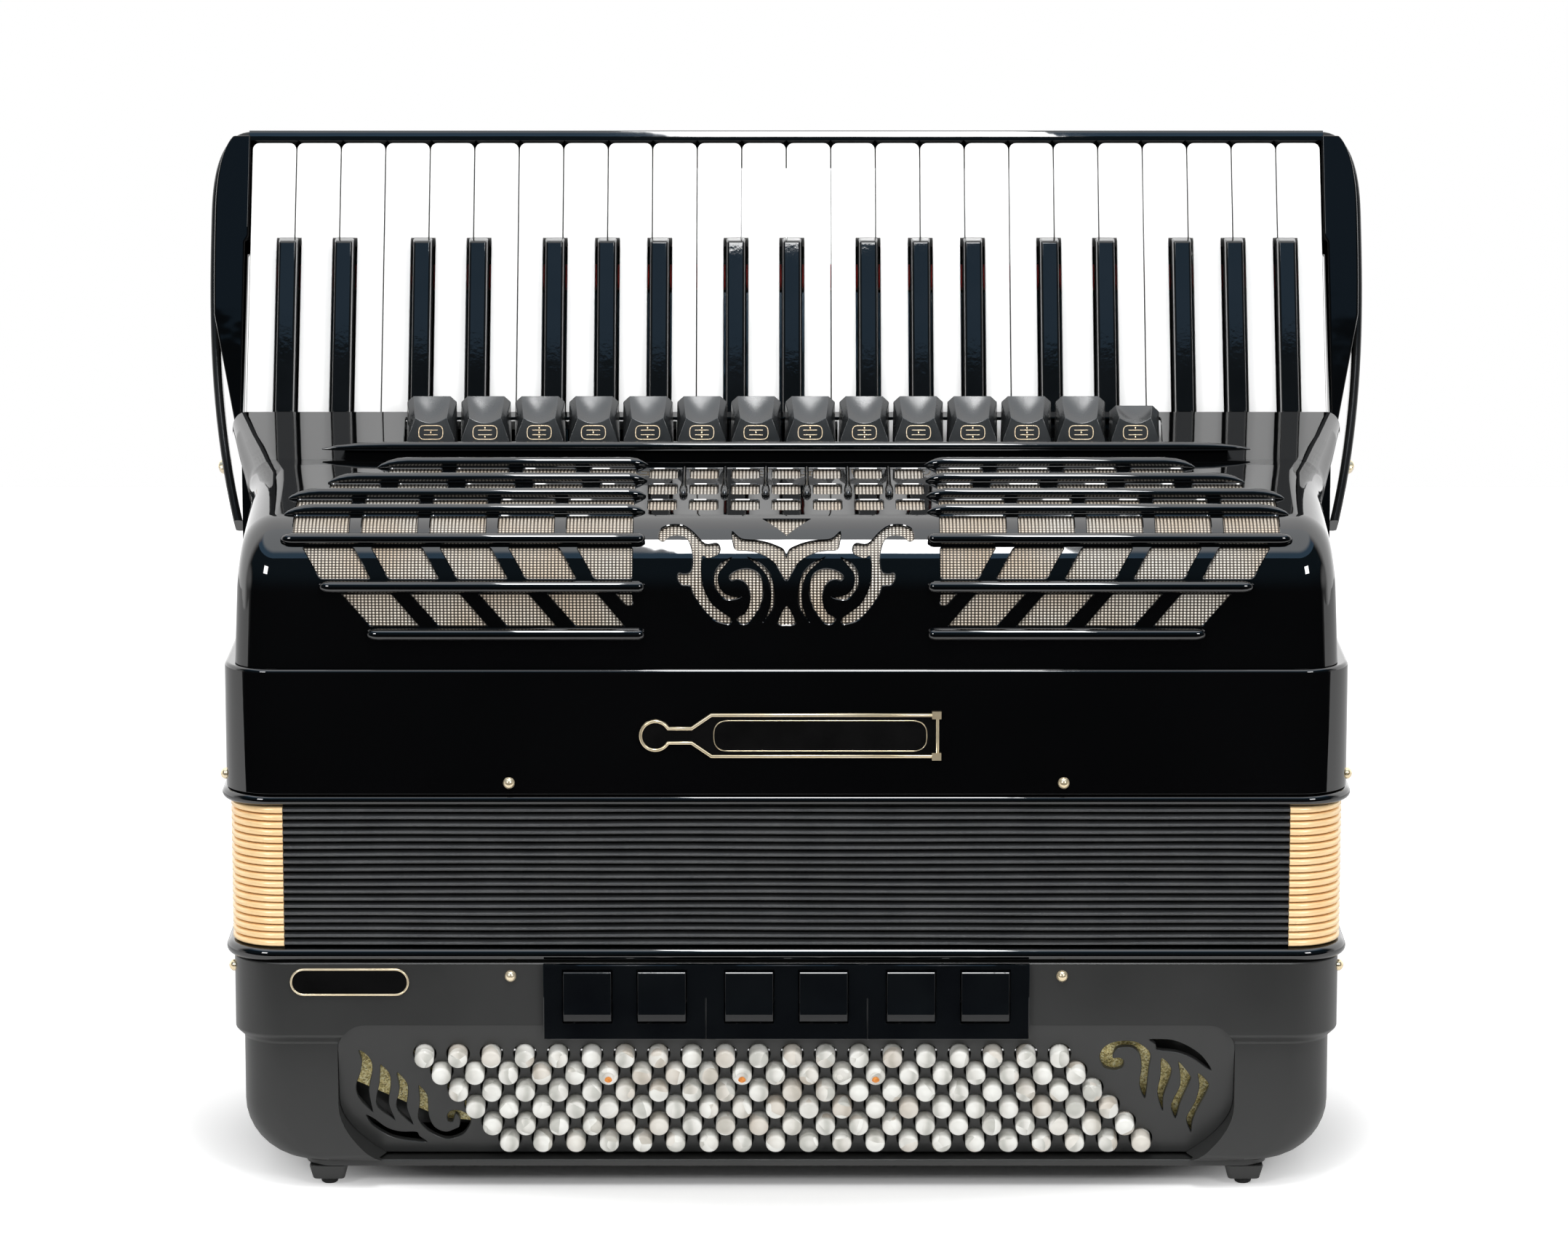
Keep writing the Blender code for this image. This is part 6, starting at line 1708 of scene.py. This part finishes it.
def facet_point(x, share, foot):
    """Point of a switch's leaning front, at a share of its height over the foot."""
    return Vector((x, SWITCH_FRONT_Y + FACET_LEAN * share, foot + FACET_RISE * share))


def add_switch(bm, x, foot, rise):
    """Block with a leaning front and a dished top, whose base is sunk under the ledge."""
    base = foot - SWITCH_SUNK
    front = []
    edge = []
    for column in range(DISH_COLUMNS + 1):
        u = 2 * column / DISH_COLUMNS - 1
        front.append(facet_point(x + FACET_HALVES[0] * u, 0, foot))
        share = 1 - FACET_DIP * (1 - u * u)
        edge.append(facet_point(x + FACET_HALVES[1] * u, share, foot))
    low_front = [Vector((x + side * FACET_HALVES[0], SWITCH_FRONT_Y, base)) for side in (-1, 1)]
    rings = [[low_front[0], front[0]] + front + [front[-1], low_front[1]]]
    for row in range(DISH_ROWS + 1):
        w = row / DISH_ROWS
        top = []
        for column in range(DISH_COLUMNS + 1):
            u = 2 * column / DISH_COLUMNS - 1
            back = Vector((x + BACK_HALVES[1] * u, SWITCH_BACK_Y - 0.5, foot + rise))
            spot = edge[column].lerp(back, w)
            top.append(spot - Vector((0, 0, DISH_SAG * math.sin(math.pi * w) * (1 - u * u))))
        ring = []
        for side, rim in ((-1, top[0]), (1, top[-1])):
            half = FACET_HALVES[0] + (BACK_HALVES[0] - FACET_HALVES[0]) * min(1, 0.4 + w)
            reach = half - abs(rim.x - x)
            shoulder = Vector((rim.x + side * reach * (0.3 + 0.6 * w), rim.y, rim.z - 3.0 + 0.4 * w))
            ring.append((shoulder, Vector((x + side * half, rim.y, base))))
        rings.append([ring[0][1], ring[0][0]] + top + [ring[1][0], ring[1][1]])
    add_loft(bm, rings)


switch_black = finish_coat(
    "switch_black", (0.018, 0.020, 0.021), (0.026, 0.028, 0.030), (0.24, 0.32), 60, (600, 0.08, 0.0003),
    specular=0.9)
mark_gold = finish_coat(
    "mark_gold", (0.86, 0.66, 0.42), (0.94, 0.78, 0.56), (0.3, 0.4), 80, (900, 0.1, 0.0002), metallic=0.3)
bm = bmesh.new()
marks = bmesh.new()
for index in range(SWITCHES):
    x = (index - (SWITCHES - 1) / 2) * SWITCH_PITCH + SWITCH_SHIFT
    foot = ledge_height(SWITCH_FRONT_Y) + SWITCH_FOOT
    add_switch(bm, x, foot, SWITCH_RISE - (PRESSED_DROP if index == SWITCHES - 1 else 0.0))
    outline = rounded(
        rectangle(-SYMBOL_HALF_X, -SYMBOL_HALF_Z, SYMBOL_HALF_X, SYMBOL_HALF_Z), 2.4, 4)
    lines = [(outline + outline[:1], 0.2)]
    for level in (-1.0, 1.0):
        lines.append(([(-3, level), (3, level)], 0.16))
    for dot in range(1 + index % 3):
        level = (0.0, -1.9, 1.9)[(dot + index) % 3]
        lines.append(([(-0.25, level), (0.25, level)], 0.5))
    for line, radius in lines:
        points = []
        for a, level in line:
            place = facet_point(x + a, SYMBOL_LEVEL + level / FACET_RISE, foot)
            points.append(place + Vector((0, -0.05, 0.02)))
        add_tube(marks, points, [radius] * len(points), 6)
bmesh.ops.remove_doubles(bm, verts=bm.verts, dist=0.001)
bmesh.ops.dissolve_degenerate(bm, edges=bm.edges, dist=0.0005)
switch_blocks = finish_piece("treble_switch_blocks", bm, switch_black, 28, 0.3, 2)
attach(switch_blocks, "treble_switch_bank")
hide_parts("treble_switches")
symbols = finish_piece("treble_switch_symbols", marks, mark_gold, 40)
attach(symbols, "treble_switch_bank")


# Plaques and bellows pins. Gold-rimmed black plaques, left bare, on both cases, and small
# domed gold pins that hold the bellows frames.
PIN_RADIUS, PIN_FRONT_X, PIN_SIDE_Y = 2.5, 118.7, 83
PIN_LEVELS = (("treble", 182, CASE_WIDTH, "treble_body"), ("bass", 97, BASS_WIDTH, "bass_body"))
BADGE_Z, BADGE_RING_X, BADGE_RING_RADIUS, BADGE_NECK = 202.7, -56, 6.3, 3.1
BADGE_HALF, BADGE_END = 9.0, 64.6
PLAQUE_THICKNESS = 1.4
PILL_X, PILL_Z, PILL_HALF_X, PILL_HALF_Z = -188, 94.4, 25.2, 5.6

plaque_black = finish_coat(
    "plaque_black", (0.003, 0.003, 0.003), (0.005, 0.005, 0.005), (0.06, 0.1), 80, (900, 0.05, 0.0001))
for name, z, width, body in PIN_LEVELS:
    bm = bmesh.new()
    for side in (-1, 1):
        for turn in (0, 90, 180, 270):
            across, reach = (PIN_SIDE_Y, width / 2) if turn % 180 else (PIN_FRONT_X, BODY_DEPTH / 2)
            matrix = (Matrix.Rotation(math.radians(turn), 4, "Z")
                      @ Matrix.Translation((side * across, -reach, z))
                      @ Matrix.Rotation(math.pi / 2, 4, "X"))
            add_stud(bm, matrix, [
                (PIN_RADIUS, -1.5), (PIN_RADIUS, 0.6), (PIN_RADIUS - 0.3, 1.3),
                (PIN_RADIUS - 0.9, 1.9), (PIN_RADIUS - 1.7, 2.3), (0.2, 2.4)], 24)
    pins = finish_piece(name + "_bellows_pins", bm, brass, 40)
    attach(pins, body)

join_angle = math.asin(BADGE_NECK / BADGE_RING_RADIUS)
badge = []
for step in range(25):
    a = join_angle + (2 * math.pi - 2 * join_angle) * step / 24
    badge.append((BADGE_RING_X + BADGE_RING_RADIUS * math.cos(a), BADGE_RING_RADIUS * math.sin(a)))
badge += [(-40.5, -BADGE_NECK), (-32, -BADGE_HALF), (BADGE_END, -BADGE_HALF),
          (BADGE_END, BADGE_HALF), (-32, BADGE_HALF), (-40.5, BADGE_NECK)]


def add_rim(bm, outline, radius, y, z_middle, sides=8):
    """Thin round wire laid along a closed outline drawn in the XZ plane."""
    rings = []
    count = len(outline)
    for i in range(count):
        here = Vector(outline[i])
        before = (here - Vector(outline[i - 1])).normalized()
        after = (Vector(outline[(i + 1) % count]) - here).normalized()
        along = (before + after).normalized()
        across = Vector((-along.y, along.x)) / max(along.dot(after), 0.5)
        rings.append([(here.x + across.x * a, y - b, z_middle + here.y + across.y * a)
                      for a, b in circle(0, 0, radius, sides)])
    add_loft(bm, rings, closed=True)


pill = []
for side, start in ((1, -90), (-1, 90)):
    pill += arc(PILL_X + side * (PILL_HALF_X - PILL_HALF_Z), 0, PILL_HALF_Z, start, 180, 12)
front_plane = Matrix(((1, 0, 0, 0), (0, 0, -1, 0), (0, 1, 0, 0), (0, 0, 0, 1)))
for name, outline, z, body, inner_line in (
        ("badge", badge, BADGE_Z, "treble_body", rounded(rectangle(-31, -6.6, 60, 6.6), 6.5, 8)),
        ("pill", pill, PILL_Z, "bass_body", None)):
    bm = bmesh.new()
    add_prism(bm, outline, PLAQUE_THICKNESS,
              Matrix.Translation((0, FRONT + 0.6, z)) @ front_plane)
    plate = finish_piece(name + "_plate", bm, plaque_black, 30)
    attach(plate, body)
    bm = bmesh.new()
    add_rim(bm, outline, 0.72 if inner_line else 0.5, FRONT - 0.7, z)
    if inner_line:
        add_rim(bm, inner_line, 0.24, FRONT - 0.78, z, 6)
        for level in (-BADGE_HALF, BADGE_HALF):
            add_box(bm, (62.2, FRONT - 1.5, z + level - 1.6), (66.2, FRONT - 0.4, z + level + 1.6))
    rim = finish_piece(name + "_rim", bm, brass, 60)
    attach(rim, body)
